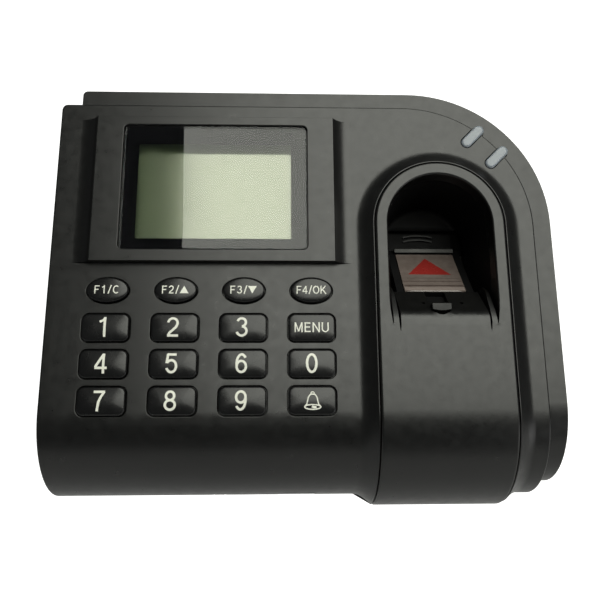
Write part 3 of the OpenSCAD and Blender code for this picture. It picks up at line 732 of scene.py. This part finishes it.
b.loft([[row(x, y, z) for x, y in hood_path(r, -82)] for r, z in [(18.75, -26), (18.75, -1.6)] + prof[:5]])
lp = hood_path(15.2, -48.01)
fl = [p for p in arc(POD_X, POD_Y, 15.2, 180, 0, 48) if p[1] > -40.0]
fl = [(POD_X - math.sqrt(15.2 ** 2 - 8 ** 2), -40.0)] + fl + [(POD_X + math.sqrt(15.2 ** 2 - 8 ** 2), -40.0)]
pr = []
for r, z in prof[4:]:
    a0_ = math.degrees(math.asin(8 / r))
    pr.append([row(x, y, z) for x, y in arc(POD_X, POD_Y, r, 180 - a0_, a0_, 40)])
b.loft(pr)
a0_ = math.degrees(math.asin(8 / 15.2))
fl = arc(POD_X, POD_Y, 15.2, 180 - a0_, a0_, 40)
fill(b, [fl], lambda x, y: row(x, y, -27.8), (3, 3))
edge = [fl[-1], fl[0]]
ex = np.linspace(fl[0][0], fl[-1][0], 12)
b.loft([[row(x, -40.0, -27.8) for x in ex], [row(x, -40.25, -27.95) for x in ex], [row(x, -40.3, -31.0) for x in ex],
        [row(x, -48.8, -31.0) for x in ex]])
# two low curved ribs across the trough, and its floor out to the walls
# the ribs' lighter material is a painted highlight on them
rb = Build()
for k, (yy, zz) in enumerate(((-41.7, -29.9), (-43.4, -30.2))):
    pts = [(POD_X - 1 - 6 + 12 * i / 16, yy - 0.022 * (6 - 12 * i / 16) ** 2) for i in range(17)]
    rb.loft([[row(x, y - 0.35, -31.0) for x, y in pts], [row(x, y - 0.3, zz + 0.1) for x, y in pts],
            [row(x, y, zz + 0.115) for x, y in pts], [row(x, y + 0.3, zz + 0.1) for x, y in pts],
            [row(x, y + 0.35, -31.0) for x, y in pts]])
# the trough floor takes the darker material: painted shade, not a different plastic
tr = Build()
tr.loft([[row(POD_X + x, y, z) for x in np.linspace(-18, 18, 9)] for y, z in ((-40.1, -31.2), (-44, -31.2), (-50, -31.2), (-50, -31.4))])
tr.make("recess_liner_trough", M["trough_shade_plastic"], "housing")
b.loft([[on_ramp(x, q, -1.95) for x in (-6.5, -0.8, 5)] for q in (NS - 1.5, LEN - 0.2)])
rb.make("recess_liner_ribs", M["rib_highlight_plastic"], "housing")
# the hood wears the low-specular liner plastic: painted shade on the recess walls
liner = b.make("recess_liner_hood", M["liner_plastic"], "housing", ["recess_liner"], angle=40)
liner.data.materials[0] = M["liner_plastic"]

# ------------------------------------------------------------------------ keys
KEYS = [["key_f1", "key_f2", "key_f3", "key_f4"], ["key_1", "key_2", "key_3", "key_menu"],
        ["key_4", "key_5", "key_6", "key_0"], ["key_7", "key_8", "key_9", "key_bell"]]


def crown(j, u, v):
    """Height of a key's top at (u, v) from its centre."""
    if j == 0:
        q = (u / 7.35) ** 2 + (v / 4.45) ** 2
        return 1.0 + 0.85 * math.sqrt(max(0.0, 1 - 0.86 * q))
    a, c = abs(u) / 8.2, abs(v) / 4.85
    return 0.62 + 0.87 * (1 - 0.5 * a ** 3.2) * (1 - 0.78 * c ** 2.1)


key_objs = {}
for j in range(4):
    for i in range(4):
        kx, ky = KEY_X[i], KEY_Y[j]
        b = Build()

        def lp(t, j=j, kx=kx, ky=ky):
            if j == 0:
                w, h = 14.7 - 2 * t, 8.9 - 2 * t
                return oval(kx, ky, max(w, 5.8 * (h / 8.9) + 0.2), max(h, 0.05), 64)
            return rrect(kx, ky, 16.4 - 2 * t, 9.7 - 2 * t, 2.3 - t * 0.47, 14)
        loops = [[row(x, y, -3.6) for x, y in rrect(kx, ky, 18.6, 10.9 if j == 0 else 11.5, 2, 15 if j == 0 else 14)]]
        loops = []
        r = 0.55 if j else 0.5
        edge_h = crown(j, 0, 4.85 - r) if j else crown(0, 0, 4.45 - r)
        loops.append([row(x, y, -2.9) for x, y in lp(0)])
        loops.append([row(x, y, 0.3) for x, y in lp(0)])
        for k in range(5):
            a = math.radians(90 * k / 5)
            t = r * (1 - math.cos(a))
            pts = []
            for x, y in lp(t):
                hh = crown(j, (x - kx) * (1 - 0.03), (y - ky) * (1 - 0.03)) if j else crown(0, x - kx, y - ky)
                hh = min(hh, crown(j, x - kx, y - ky) if True else hh)
                pts.append(row(x, y, max(hh - r * (1 - math.sin(a)), 0.35)))
            loops.append(pts)
        tmax = 4.6 if j else 4.3
        for t in [r + (tmax - r) * k / 9 for k in range(10)]:
            loops.append([row(x, y, crown(j, x - kx, y - ky)) for x, y in lp(t)])
        b.loft(loops, True)
        b.face(loops[-1])
        # retaining flange and stem
        fl_ = rrect(kx, ky, 18.6, 10.9 if j == 0 else 11.5, 2, 8)
        b.loft([[row(x, y, z) for x, y in fl_] for z in (-2.8, -3.6)], True)
        b.face([row(x, y, -2.8) for x, y in fl_])
        b.face([row(x, y, -3.6) for x, y in fl_])
        st = oval(kx, ky, 6, 6, 32)
        b.loft([[row(x, y, z) for x, y in st] for z in (-3.6, -4.9)], True)
        b.face([row(x, y, -4.9) for x, y in st])
        nm = KEYS[j][i]
        key_objs[nm] = b.make("cap_" + nm, M["key_plastic"], nm, [nm], angle=38, weighted=False)


def print_on_key(nm, j, i, mesh_parts, dx=0.0, dy=0.0):
    """Joins flat outline meshes into one legend that follows the key's crown."""
    kx, ky = KEY_X[i], KEY_Y[j]
    b = Build()
    for verts, faces in mesh_parts:
        for f in faces:
            b.face([row(kx + verts[q][0] + dx, ky + verts[q][1] + dy,
                        crown(j, verts[q][0] + dx, verts[q][1] + dy) + 0.03) for q in f])
    return b.make("legend_" + nm, M["legend"], nm, angle=60, weighted=False)


def stroke(pts, w, closed=False, step=0.55):
    """A flat line of width w through the points."""
    src = list(pts) + ([pts[0]] if closed else [])
    dense = []
    for a, c in zip(src, src[1:]):
        n = max(1, int(math.hypot(c[0] - a[0], c[1] - a[1]) / step))
        dense += [(a[0] + (c[0] - a[0]) * q / n, a[1] + (c[1] - a[1]) * q / n) for q in range(n)]
    if not closed:
        dense.append(src[-1])
    n = len(dense)
    vs, fs = [], []
    for q in range(n):
        a = dense[(q - 1) % n] if (closed or q > 0) else dense[q]
        m_ = dense[q]
        c = dense[(q + 1) % n] if (closed or q < n - 1) else dense[q]
        d1, d2 = (m_[0] - a[0], m_[1] - a[1]), (c[0] - m_[0], c[1] - m_[1])
        l1, l2 = math.hypot(*d1), math.hypot(*d2)
        u1 = (d1[0] / l1, d1[1] / l1) if l1 > 1e-9 else (d2[0] / l2, d2[1] / l2)
        u2 = (d2[0] / l2, d2[1] / l2) if l2 > 1e-9 else u1
        nx, ny = -(u1[1] + u2[1]), u1[0] + u2[0]
        l = math.hypot(nx, ny) or 1
        nx, ny = nx / l, ny / l
        k = 1 / max(0.5, nx * -u1[1] + ny * u1[0])
        vs += [(m_[0] + nx * w / 2 * k, m_[1] + ny * w / 2 * k), (m_[0] - nx * w / 2 * k, m_[1] - ny * w / 2 * k)]
    for q in range(n if closed else n - 1):
        r2 = (q + 1) % n
        fs.append([2 * q, 2 * q + 1, 2 * r2 + 1, 2 * r2])
    return vs, fs


def el(cx, cy, rx, ry, a0, a1, n=26):
    return [(cx + rx * math.cos(math.radians(a0 + (a1 - a0) * q / n)),
             cy + ry * math.sin(math.radians(a0 + (a1 - a0) * q / n))) for q in range(n + 1)]


# skeletons, seven units high and centred on the origin: (points, closed)
SIX = [(el(0, -1.15, 1.6, 1.9, 0, 348), True), (el(0.12, -0.2, 1.72, 3.25, 192, 40), False)]
GLYPH = {
    "0": [(el(0, 0, 1.62, 3.05, 0, 350, 34), True)],
    "1": [([(0.45, -3.5), (0.45, 3.5)], False), ([(0.5, 3.05), (-0.15, 2.35), (-1.35, 1.75)], False)],
    "2": [(el(0, 1.3, 1.62, 1.75, 172, -22) + [(1.05, -0.15), (0.0, -1.15), (-1.1, -2.1), (-1.6, -3.05)], False),
          ([(-1.9, -3.05), (1.95, -3.05)], False)],
    "3": [(el(-0.05, 1.6, 1.45, 1.45, 165, -88), False), (el(-0.05, -1.45, 1.68, 1.6, 88, -168), False)],
    "4": [([(0.8, -3.5), (0.8, 3.4)], False), ([(0.75, 3.2), (-1.95, -1.35)], False), ([(-2.15, -1.55), (2.05, -1.55)], False)],
    "5": [([(1.7, 3.05), (-1.35, 3.05)], False), ([(-1.2, 3.3), (-1.6, 0.0)], False),
          (el(-0.02, -1.0, 1.66, 2.05, 146, -162), False)],
    "6": SIX,
    "7": [([(-1.9, 3.05), (1.95, 3.05)], False), ([(1.75, 3.1), (0.75, 1.5), (-0.05, -0.4), (-0.5, -3.5)], False)],
    "8": [(el(0, 1.6, 1.4, 1.45, 0, 345), True), (el(0, -1.45, 1.68, 1.6, 0, 345), True)],
    "9": [([(-x, -y) for x, y in p_], c_) for p_, c_ in SIX],
}
CAPS = {
    "F": (0.56, [([(0.06, 0), (0.06, 1)], False), ([(0.0, 0.93), (0.58, 0.93)], False), ([(0.06, 0.5), (0.5, 0.5)], False)]),
    "C": (0.68, [(el(0.37, 0.5, 0.33, 0.44, 48, 312), False)]),
    "M": (0.80, [([(0.06, 0), (0.06, 1)], False), ([(0.08, 0.97), (0.4, 0.08)], False), ([(0.4, 0.08), (0.72, 0.97)], False),
                 ([(0.74, 0), (0.74, 1)], False)]),
    "E": (0.60, [([(0.06, 0), (0.06, 1)], False), ([(0.0, 0.93), (0.58, 0.93)], False), ([(0.06, 0.52), (0.53, 0.52)], False),
                 ([(0.0, 0.07), (0.6, 0.07)], False)]),
    "N": (0.72, [([(0.06, 0), (0.06, 1)], False), ([(0.08, 0.95), (0.64, 0.05)], False), ([(0.66, 0), (0.66, 1)], False)]),
    "U": (0.70, [([(0.06, 1), (0.06, 0.36)] + el(0.35, 0.35, 0.29, 0.29, 180, 360, 14) + [(0.64, 0.36), (0.64, 1)], False)]),
    "O": (0.76, [(el(0.38, 0.5, 0.33, 0.44, 0, 348), True)]),
    "K": (0.68, [([(0.06, 0), (0.06, 1)], False), ([(0.62, 1), (0.08, 0.36)], False), ([(0.24, 0.56), (0.66, 0)], False)]),
    "/": (0.34, [([(0.0, -0.04), (0.34, 1.04)], False)]),
}


def digit(ch, h=7.0, w=0.86, cx=0.0, cy=0.0):
    k = h / 7.0
    return [stroke([(cx + x * k, cy + y * k) for x, y in p_], w, c_) for p_, c_ in GLYPH[ch]]


def words(s_, h, w, cx=0.0, gap=0.24):
    """Small capitals and numbers set on one line."""
    adv = [(0.62 if ch in GLYPH else CAPS[ch][0]) for ch in s_]
    total = sum(adv) + gap * (len(s_) - 1)
    x = -total / 2
    out_ = []
    for ch, a in zip(s_, adv):
        if ch in GLYPH:
            out_ += [stroke([(cx + (x + 0.31 + px_ / 7) * h, py_ / 7 * h) for px_, py_ in p_], w, c_) for p_, c_ in GLYPH[ch]]
        else:
            out_ += [stroke([(cx + (x + px_) * h, (py_ - 0.5) * h) for px_, py_ in p_], w, c_) for p_, c_ in CAPS[ch][1]]
        x += a + gap
    return out_, total * h


def arrow(cx, cy, w, h, up):
    vs, fs = [], []
    for q in range(6):
        t_ = q / 5
        y = cy + (1 if up else -1) * (-h / 2 + h * t_)
        for u in range(5):
            vs.append((cx + w * (1 - t_ * 0.985) * (u / 4 - 0.5), y))
    for q in range(5):
        for u in range(4):
            fs.append([5 * q + u, 5 * q + u + 1, 5 * q + u + 6, 5 * q + u + 5])
    return vs, fs


for j in range(1, 4):
    for i in range(3):
        print_on_key(KEYS[j][i], j, i, digit(KEYS[j][i][-1]), -0.45, 0.15)
print_on_key("key_menu", 1, 3, words("MENU", 3.5, 0.43, gap=0.2)[0])
print_on_key("key_0", 2, 3, digit("0"), -0.1, 0.15)
print_on_key("key_f1", 0, 0, words("F1/C", 2.9, 0.4)[0])
print_on_key("key_f2", 0, 1, words("F2/", 2.9, 0.4, -1.75)[0] + [arrow(3.1, 0.0, 3.1, 2.7, True)])
print_on_key("key_f3", 0, 2, words("F3/", 2.9, 0.4, -1.75)[0] + [arrow(3.1, 0.0, 3.1, 2.7, False)])
print_on_key("key_f4", 0, 3, words("F4/OK", 2.9, 0.38, gap=0.16)[0])
dome = [(-2.75, -1.75), (-2.05, -1.0), (-1.75, 0.1), (-1.55, 1.2), (-1.0, 2.1), (-0.45, 2.4), (0.45, 2.4), (1.0, 2.1),
        (1.55, 1.2), (1.75, 0.1), (2.05, -1.0), (2.75, -1.75)]
print_on_key("key_bell", 3, 3, [stroke(dome, 0.42), stroke(el(0, -1.95, 2.75, 0.8, 0, 350), 0.42, True),
                                stroke(el(0, 2.75, 0.6, 0.42, 0, 345), 0.34, True),
                                stroke([(-0.3, -1.75), (0.5, -2.05), (1.3, -1.95)], 0.75)], 0.1, -0.2)

# ----------------------------------------------------------------- lens and its printed border
b = Build()
L = lambda t, z: [row(x, y, z) for x, y in rrect(58.45, -33.95, 67.1 - 2 * t, 47.7 - 2 * t, 1.5 - t * 0.5)]
b.loft([L(0.15, 1.46), L(0.0, 1.6), L(0.0, 2.75), L(0.05, 2.85), L(0.15, 2.9)], True)
b.face(L(0.15, 1.46)[::-1])
b.face(L(0.15, 2.9))
b.make("display_lens_clear", M["lens"], "housing", ["display_lens"], angle=12)
b = Build()
sight = rrect(58.35, -35.4, 56.2, 36.6, 0.6)
fill(b, [rrect(58.45, -33.95, 66.9, 47.5, 1.4), sight], lambda x, y: row(x, y, 1.44), (8, 8))
fill(b, [rrect(58.45, -33.95, 66.9, 47.5, 1.4), sight], lambda x, y: row(x, y, 1.41), (8, 8))
b.loft([[row(x, y, z) for x, y in sight] for z in (1.44, 1.41)], True)
b.loft([[row(x, y, z) for x, y in rrect(58.45, -33.95, 66.9, 47.5, 1.4)] for z in (1.44, 1.41)], True)
b.make("display_lens_print", M["lens_print"], "housing", weighted=False)

# ---------------------------------------------------------------- light pipes
for nm, (px_, py_) in zip(("light_pipe_upper", "light_pipe_lower"), PIPES):
    b = Build()
    P = lambda l, w, z: [row(x, y, z) for x, y in pill(px_, py_, l, w, PIPE_ANG)]
    b.loft([P(11.2, 4.1, -2.4), P(11.2, 4.1, -0.35), P(11.05, 3.95, -0.05), P(10.7, 3.6, 0.2), P(10.05, 2.95, 0.38), P(9.2, 2.1, 0.47), P(7.7, 0.6, 0.5)], True)
    b.face(P(7.7, 0.6, 0.5))
    b.face(P(11.2, 4.1, -2.4)[::-1])
    c, s = math.cos(math.radians(PIPE_ANG)), math.sin(math.radians(PIPE_ANG))
    st = oval(px_ - 2.4 * c, py_ - 2.4 * s, 2.6, 2.6, 24)
    b.loft([[row(x, y, z) for x, y in st] for z in (-2.4, -9.0)], True)
    b.face([row(x, y, -9.0) for x, y in st])
    b.make(nm + "_rod", M["light_pipe"], "housing", [nm])
polys = []
for px_, py_ in PIPES:
    t_ = [row(x, y, 3) for x, y in pill(px_, py_, 11.8, 4.7, PIPE_ANG)]
    l_ = [row(x, y, -2.7) for x, y in pill(px_, py_, 11.8, 4.7, PIPE_ANG)]
    polys.append(([t_, l_], (t_, l_)))
us = [(82.0 + 13.2 * q, z) for q in (0, 1) for z in (0,)]
def box_poly(x0, x1, y0, y1, z0, z1):
    t_ = [row(x, y, z1) for x, y in ((x0, y0), (x1, y0), (x1, y1), (x0, y1))]
    l_ = [row(x, y, z0) for x, y in ((x0, y0), (x1, y0), (x1, y1), (x0, y1))]
    return ([t_, l_], (t_, l_))
def disc_poly(cx_, cz_, r_, y0, y1, n=24):
    A = [(cx_ + r_ * math.cos(2 * math.pi * q / n), cz_ + r_ * math.sin(2 * math.pi * q / n)) for q in range(n)]
    t_ = [row(x, y1, z) for x, z in A]
    l_ = [row(x, y0, z) for x, z in A]
    return ([t_, l_], (t_, l_))
polys.append(box_poly(88.6 - 6.9, 88.6 + 6.9, -150, -138.5, -30.4, -22.7))
polys.append(disc_poly(60, -27.6, 3.1, -150, -142.4))
polys.append(disc_poly(60, -27.6, 1.7, -150, -138))
cut(front, cutter("cut_front", polys))

# --------------------------------------------------------------- sensor window
b = Build()
X0, X1 = POD_X - 11.5, POD_X + 11.5
pts = [sp(0.25, 0), sp(24.8, 0), sp(25.05, 0.25), sp(25.05, 0.8), sp(12.5, 12.4), sp(0, 0.8), sp(0, 0.25)]
A = [row(X0 + 0.2, y, z) for y, z in pts]
b.loft([[row(X0 + 0.2, y, z) for y, z in pts], [row(X0, sp(12.5, 3)[0] + (y - sp(12.5, 3)[0]) * 0.99, sp(12.5, 3)[1] + (z - sp(12.5, 3)[1]) * 0.99) for y, z in pts]][::-1]
       + [[row(X1 - 0.2, y, z) for y, z in pts], [row(X1, sp(12.5, 3)[0] + (y - sp(12.5, 3)[0]) * 0.99, sp(12.5, 3)[1] + (z - sp(12.5, 3)[1]) * 0.99) for y, z in pts]], True)
b.face([row(X0, sp(12.5, 3)[0] + (y - sp(12.5, 3)[0]) * 0.99, sp(12.5, 3)[1] + (z - sp(12.5, 3)[1]) * 0.99) for y, z in pts])
b.face([row(X1, sp(12.5, 3)[0] + (y - sp(12.5, 3)[0]) * 0.99, sp(12.5, 3)[1] + (z - sp(12.5, 3)[1]) * 0.99) for y, z in pts])
b.make("sensor_window_prism", M["sensor_glass"], "housing", ["sensor_prism"], weighted=False)


def on_window(name, poly, mat, lift=0.03):
    b = Build()
    up = [row(POD_X + x, *sp(s, -lift)) for x, s in poly]
    dn = [row(POD_X + x, *sp(s, 0.01)) for x, s in poly]
    b.face(up)
    b.face(dn[::-1])
    b.strip(up, dn, True)
    return b.make(name, mat, "housing", weighted=False)


on_window("sensor_arrow", [(-8.5, 14.2), (8.1, 14.5), (-0.2, 3.2)], M["arrow"])
on_window("sensor_line_a", [(-11.2, 21.3), (11.2, 21.4), (11.2, 22.1), (-11.2, 21.9)], M["arrow_edge"])
on_window("sensor_line_b", [(-11.2, 18.7), (11.2, 18.8), (11.2, 19.1), (-11.2, 19.0)], M["arrow_edge"])
on_window("sensor_light_edge", [(-11.3, 22.7), (11.3, 22.7), (11.3, 24.7), (-11.3, 24.7)], M["window_edge"])
on_window("sensor_line_c", [(-11.2, 16.6), (11.2, 16.7), (11.2, 16.85), (-11.2, 16.8)], M["arrow_edge"])

# ---------------------------------------------------------------- screws seen from outside
def cross(r, w):
    return [(r, -w), (r, w), (w, w), (w, r), (-w, r), (-w, w), (-r, w), (-r, -w), (-w, -w), (-w, -r), (w, -r), (w, -w)]


def cross_screw(b, to, r_head, h_head, r_shank, l_shank):
    """Pan head at 0 looking along -d, shank along +d; `to` maps (u, v, d) to the row frame."""
    ring = lambda r, d: [to(r * math.cos(math.pi * q / 16), r * math.sin(math.pi * q / 16), d) for q in range(32)]
    top = [(r_head * 0.8 * math.cos(math.pi * q / 16), r_head * 0.8 * math.sin(math.pi * q / 16)) for q in range(32)]
    fill(b, [top, cross(r_head * 0.5, r_head * 0.14)], lambda u, v: to(u, v, 0.0), (1.0, 1.0))
    b.loft([[to(u, v, 0.0) for u, v in top], ring(r_head * 0.93, 0.12 * h_head), ring(r_head, 0.35 * h_head),
            ring(r_head, h_head), ring(r_shank, h_head), ring(r_shank, h_head + l_shank)], True)
    b.face(ring(r_shank, h_head + l_shank))
    d_ = 0.55 * h_head
    b.loft([[to(u, v, 0.0) for u, v in cross(r_head * 0.5, r_head * 0.14)],
            [to(u, v, d_) for u, v in cross(r_head * 0.4, r_head * 0.11)]], True)
    b.face([to(u, v, d_) for u, v in cross(r_head * 0.4, r_head * 0.11)])


b = Build()
for px_, py_ in ((8, -8), (8, -128), (110, -8), (108, -128), (171, -126), (170, -82)):
    cross_screw(b, lambda u, v, d, px_=px_, py_=py_: row(px_ + u, py_ + v, -35.7 + d), 2.8, 1.7, 1.35, 12.0)
b.make("cover_screws_cross", M["screw_steel"], "housing", ["cover_screws"])
b = Build()
cross_screw(b, lambda u, v, d: row(60 + u, -143.7 + d, -27.6 + v), 2.8, 1.3, 1.35, 8.4)
b.make("lock_screw_cross", M["screw_steel"], "housing", ["lock_screw"])

# ---------------------------------------------------------------- tamper spring: a real coil
b = Build()
coil, N = [], 60
for q in range(N + 1):
    u = q / N
    a = 2 * math.pi * 2.5 * u
    z = -30.38 + 1.86 * u
    ca, sa = math.cos(a), math.sin(a)
    coil.append([row(112.3 + (1.9 + 0.2 * math.cos(w)) * ca, -40 + (1.9 + 0.2 * math.cos(w)) * sa, z + 0.2 * math.sin(w))
                 for w in [2 * math.pi * j / 10 for j in range(10)]])
b.loft(coil, True)
b.face(coil[0])
b.face(coil[-1][::-1])
spring = b.make("tamper_spring_coil", M["tin"], "housing", ["tamper_spring"], angle=60)
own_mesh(spring)

# ----------------------------------------------- carried-over CAD pieces: finish
slots = {s["node"]: s["material_slot"] for s in frame["record"]["subparts"]}
for n_, ob in frame["nodes"].items():
    if ob.hide_render:
        continue
    sl = slots[n_]
    ob.data.materials.clear()
    # painted shade: the sensor housing takes the low-specular liner plastic so it reads as dark as the shadowed frame
    # round the window
    ob.data.materials.append(M[{"sensor_housing": "liner_plastic", "sensor_clip": "clip_metal", "sensor_cable": "black_part"}.get(n_, sl)])
    w = ob.modifiers.new("weld", "WELD")
    w.merge_threshold = 1e-6
    if n_ not in ("rear_housing", "wall_plate", "sensor_housing", "network_jack", "usb_port", "power_jack",
                  "door_terminal", "relay", "sensor_clip", "lcd_frame"):
        es = ob.modifiers.new("edges", "EDGE_SPLIT")
        es.split_angle = math.radians(30)
    if n_ in ("rear_housing", "wall_plate", "sensor_housing", "network_jack", "usb_port", "power_jack",
              "door_terminal", "relay", "sensor_clip", "lcd_frame"):
        d = ob.modifiers.new("flat", "DECIMATE")
        d.decimate_type = "DISSOLVE"
        d.angle_limit = math.radians(0.8)
        v = ob.modifiers.new("edges", "BEVEL")
        v.width = {"rear_housing": 0.0006, "wall_plate": 0.0003, "sensor_housing": 0.0003}.get(n_, 0.0002)
        v.segments = 3
        v.limit_method = "ANGLE"
        v.angle_limit = math.radians(40)
        v.use_clamp_overlap = True
        v.harden_normals = False
        wn_ = ob.modifiers.new("normals", "WEIGHTED_NORMAL")
        wn_.keep_sharp = False
        wn_.weight = 80
    ob.data.polygons.foreach_set("use_smooth", [True] * len(ob.data.polygons))
    if "sharp_face" in ob.data.attributes:
        pass
    ob.data.set_sharp_from_angle(angle=math.radians(30))

# -------------------------------------------------------------- stage and light
def stage_mesh(name, prof, width, mat):
    v, f = [], []
    for q, (y, z) in enumerate(prof):
        v += [(-width, y, z), (width, y, z)]
        if q:
            f.append((2 * q - 2, 2 * q - 1, 2 * q + 1, 2 * q))
    me = bpy.data.meshes.new(name)
    me.from_pydata(v, [], f)
    for p_ in me.polygons:
        p_.use_smooth = True
    me.materials.append(mat)
    ob = bpy.data.objects.new(name, me)
    bpy.context.scene.collection.objects.link(ob)
    return ob


m, nt, p = nodes_of("stage_white")
p.inputs["Base Color"].default_value = (0.55, 0.55, 0.55, 1)
p.inputs["Roughness"].default_value = 0.9
p.inputs["Emission Color"].default_value = (1, 1, 1, 1)
lpn = nt.nodes.new("ShaderNodeLightPath")
em = ramp(nt, lpn.outputs["Is Camera Ray"], 0, 1, 0.15, 0.9)
nt.links.new(em, p.inputs["Emission Strength"])
prof = [(-0.34, -0.45), (0.5, -0.45)] + [(0.5 + 0.4 * math.sin(math.radians(a)), -0.05 - 0.4 * math.cos(math.radians(a)))
                                        for a in range(10, 90, 10)] + [(0.9, -0.05), (0.9, 2.5)]
stage_mesh("floor_sweep", prof, 4.0, m)

world = bpy.data.worlds.new("w")
bpy.context.scene.world = world
world.use_nodes = True
wn = world.node_tree
bg = wn.nodes["Background"]
lp_ = wn.nodes.new("ShaderNodeLightPath")
bg2 = wn.nodes.new("ShaderNodeBackground")
bg.inputs["Color"].default_value = (0.9, 0.95, 1.0, 1)
bg.inputs["Strength"].default_value = 0.06
bg2.inputs["Color"].default_value = (1, 1, 1, 1)
bg2.inputs["Strength"].default_value = 1.0
ms = wn.nodes.new("ShaderNodeMixShader")
wn.links.new(lp_.outputs["Is Camera Ray"], ms.inputs["Fac"])
wn.links.new(bg.outputs["Background"], ms.inputs[1])
wn.links.new(bg2.outputs["Background"], ms.inputs[2])
wn.links.new(ms.outputs["Shader"], wn.nodes["World Output"].inputs["Surface"])


def area(name, loc, target, sx, sy, radiance, col=(1, 1, 1)):
    la = bpy.data.lights.new(name, "AREA")
    la.shape = "RECTANGLE"
    la.size, la.size_y = sx, sy
    la.energy = radiance * sx * sy * math.pi
    la.color = col
    ob = bpy.data.objects.new(name, la)
    ob.location = loc
    ob.rotation_euler = (Vector(target) - Vector(loc)).to_track_quat("-Z", "Y").to_euler()
    bpy.context.scene.collection.objects.link(ob)
    return ob


area("key_card", (0.61, -1.5, 1.16), (0.61, 0, 1.16), 1.78, 2.4, 3.95, (0.985, 1, 0.91))
area("low_right", (0.75, -0.42, -0.40), (0.1, 0.0, -0.05), 0.7, 0.35, 1.3)
area("back_fill", (0.0, 0.75, 1.2), (0, 0, 0), 1.2, 0.6, 1.0)

# --------------------------------------------------------------------- camera
def rot(rx, ry, rz):
    cx_, sx_, cy_, sy_, cz_, sz_ = math.cos(rx), math.sin(rx), math.cos(ry), math.sin(ry), math.cos(rz), math.sin(rz)
    return (Matrix(((cz_, -sz_, 0), (sz_, cz_, 0), (0, 0, 1))) @ Matrix(((cy_, 0, sy_), (0, 1, 0), (-sy_, 0, cy_)))
            @ Matrix(((1, 0, 0), (0, cx_, -sx_), (0, sx_, cx_))))


R = rot(-0.2223, -0.03125, 0.00147) @ Matrix(((1, 0, 0), (0, -1, 0), (0, 0, -1)))
t = Vector((-89.83073, -74.12651, 241.30492))
C = -(R.transposed() @ t)
to_row = lambda v: Vector((v[0], -v[2], v[1]))
rt_, up_, fw_ = to_row(R[0]), -to_row(R[1]), to_row(R[2])
cam = bpy.data.cameras.new("camera")
cam.sensor_width = 36
cam.lens = 638.4 / 600 * 36
cam.clip_start, cam.clip_end = 0.01, 50
co = bpy.data.objects.new("camera", cam)
mt = Matrix.Identity(4)
for r_ in range(3):
    mt[r_][0], mt[r_][1], mt[r_][2] = rt_[r_], up_[r_], -fw_[r_]
    mt[r_][3] = row(*C)[r_]
co.matrix_world = mt
bpy.context.scene.collection.objects.link(co)
bpy.context.scene.camera = co
bpy.context.scene.view_settings.view_transform = "Standard"
bpy.context.scene.view_settings.look = "None"

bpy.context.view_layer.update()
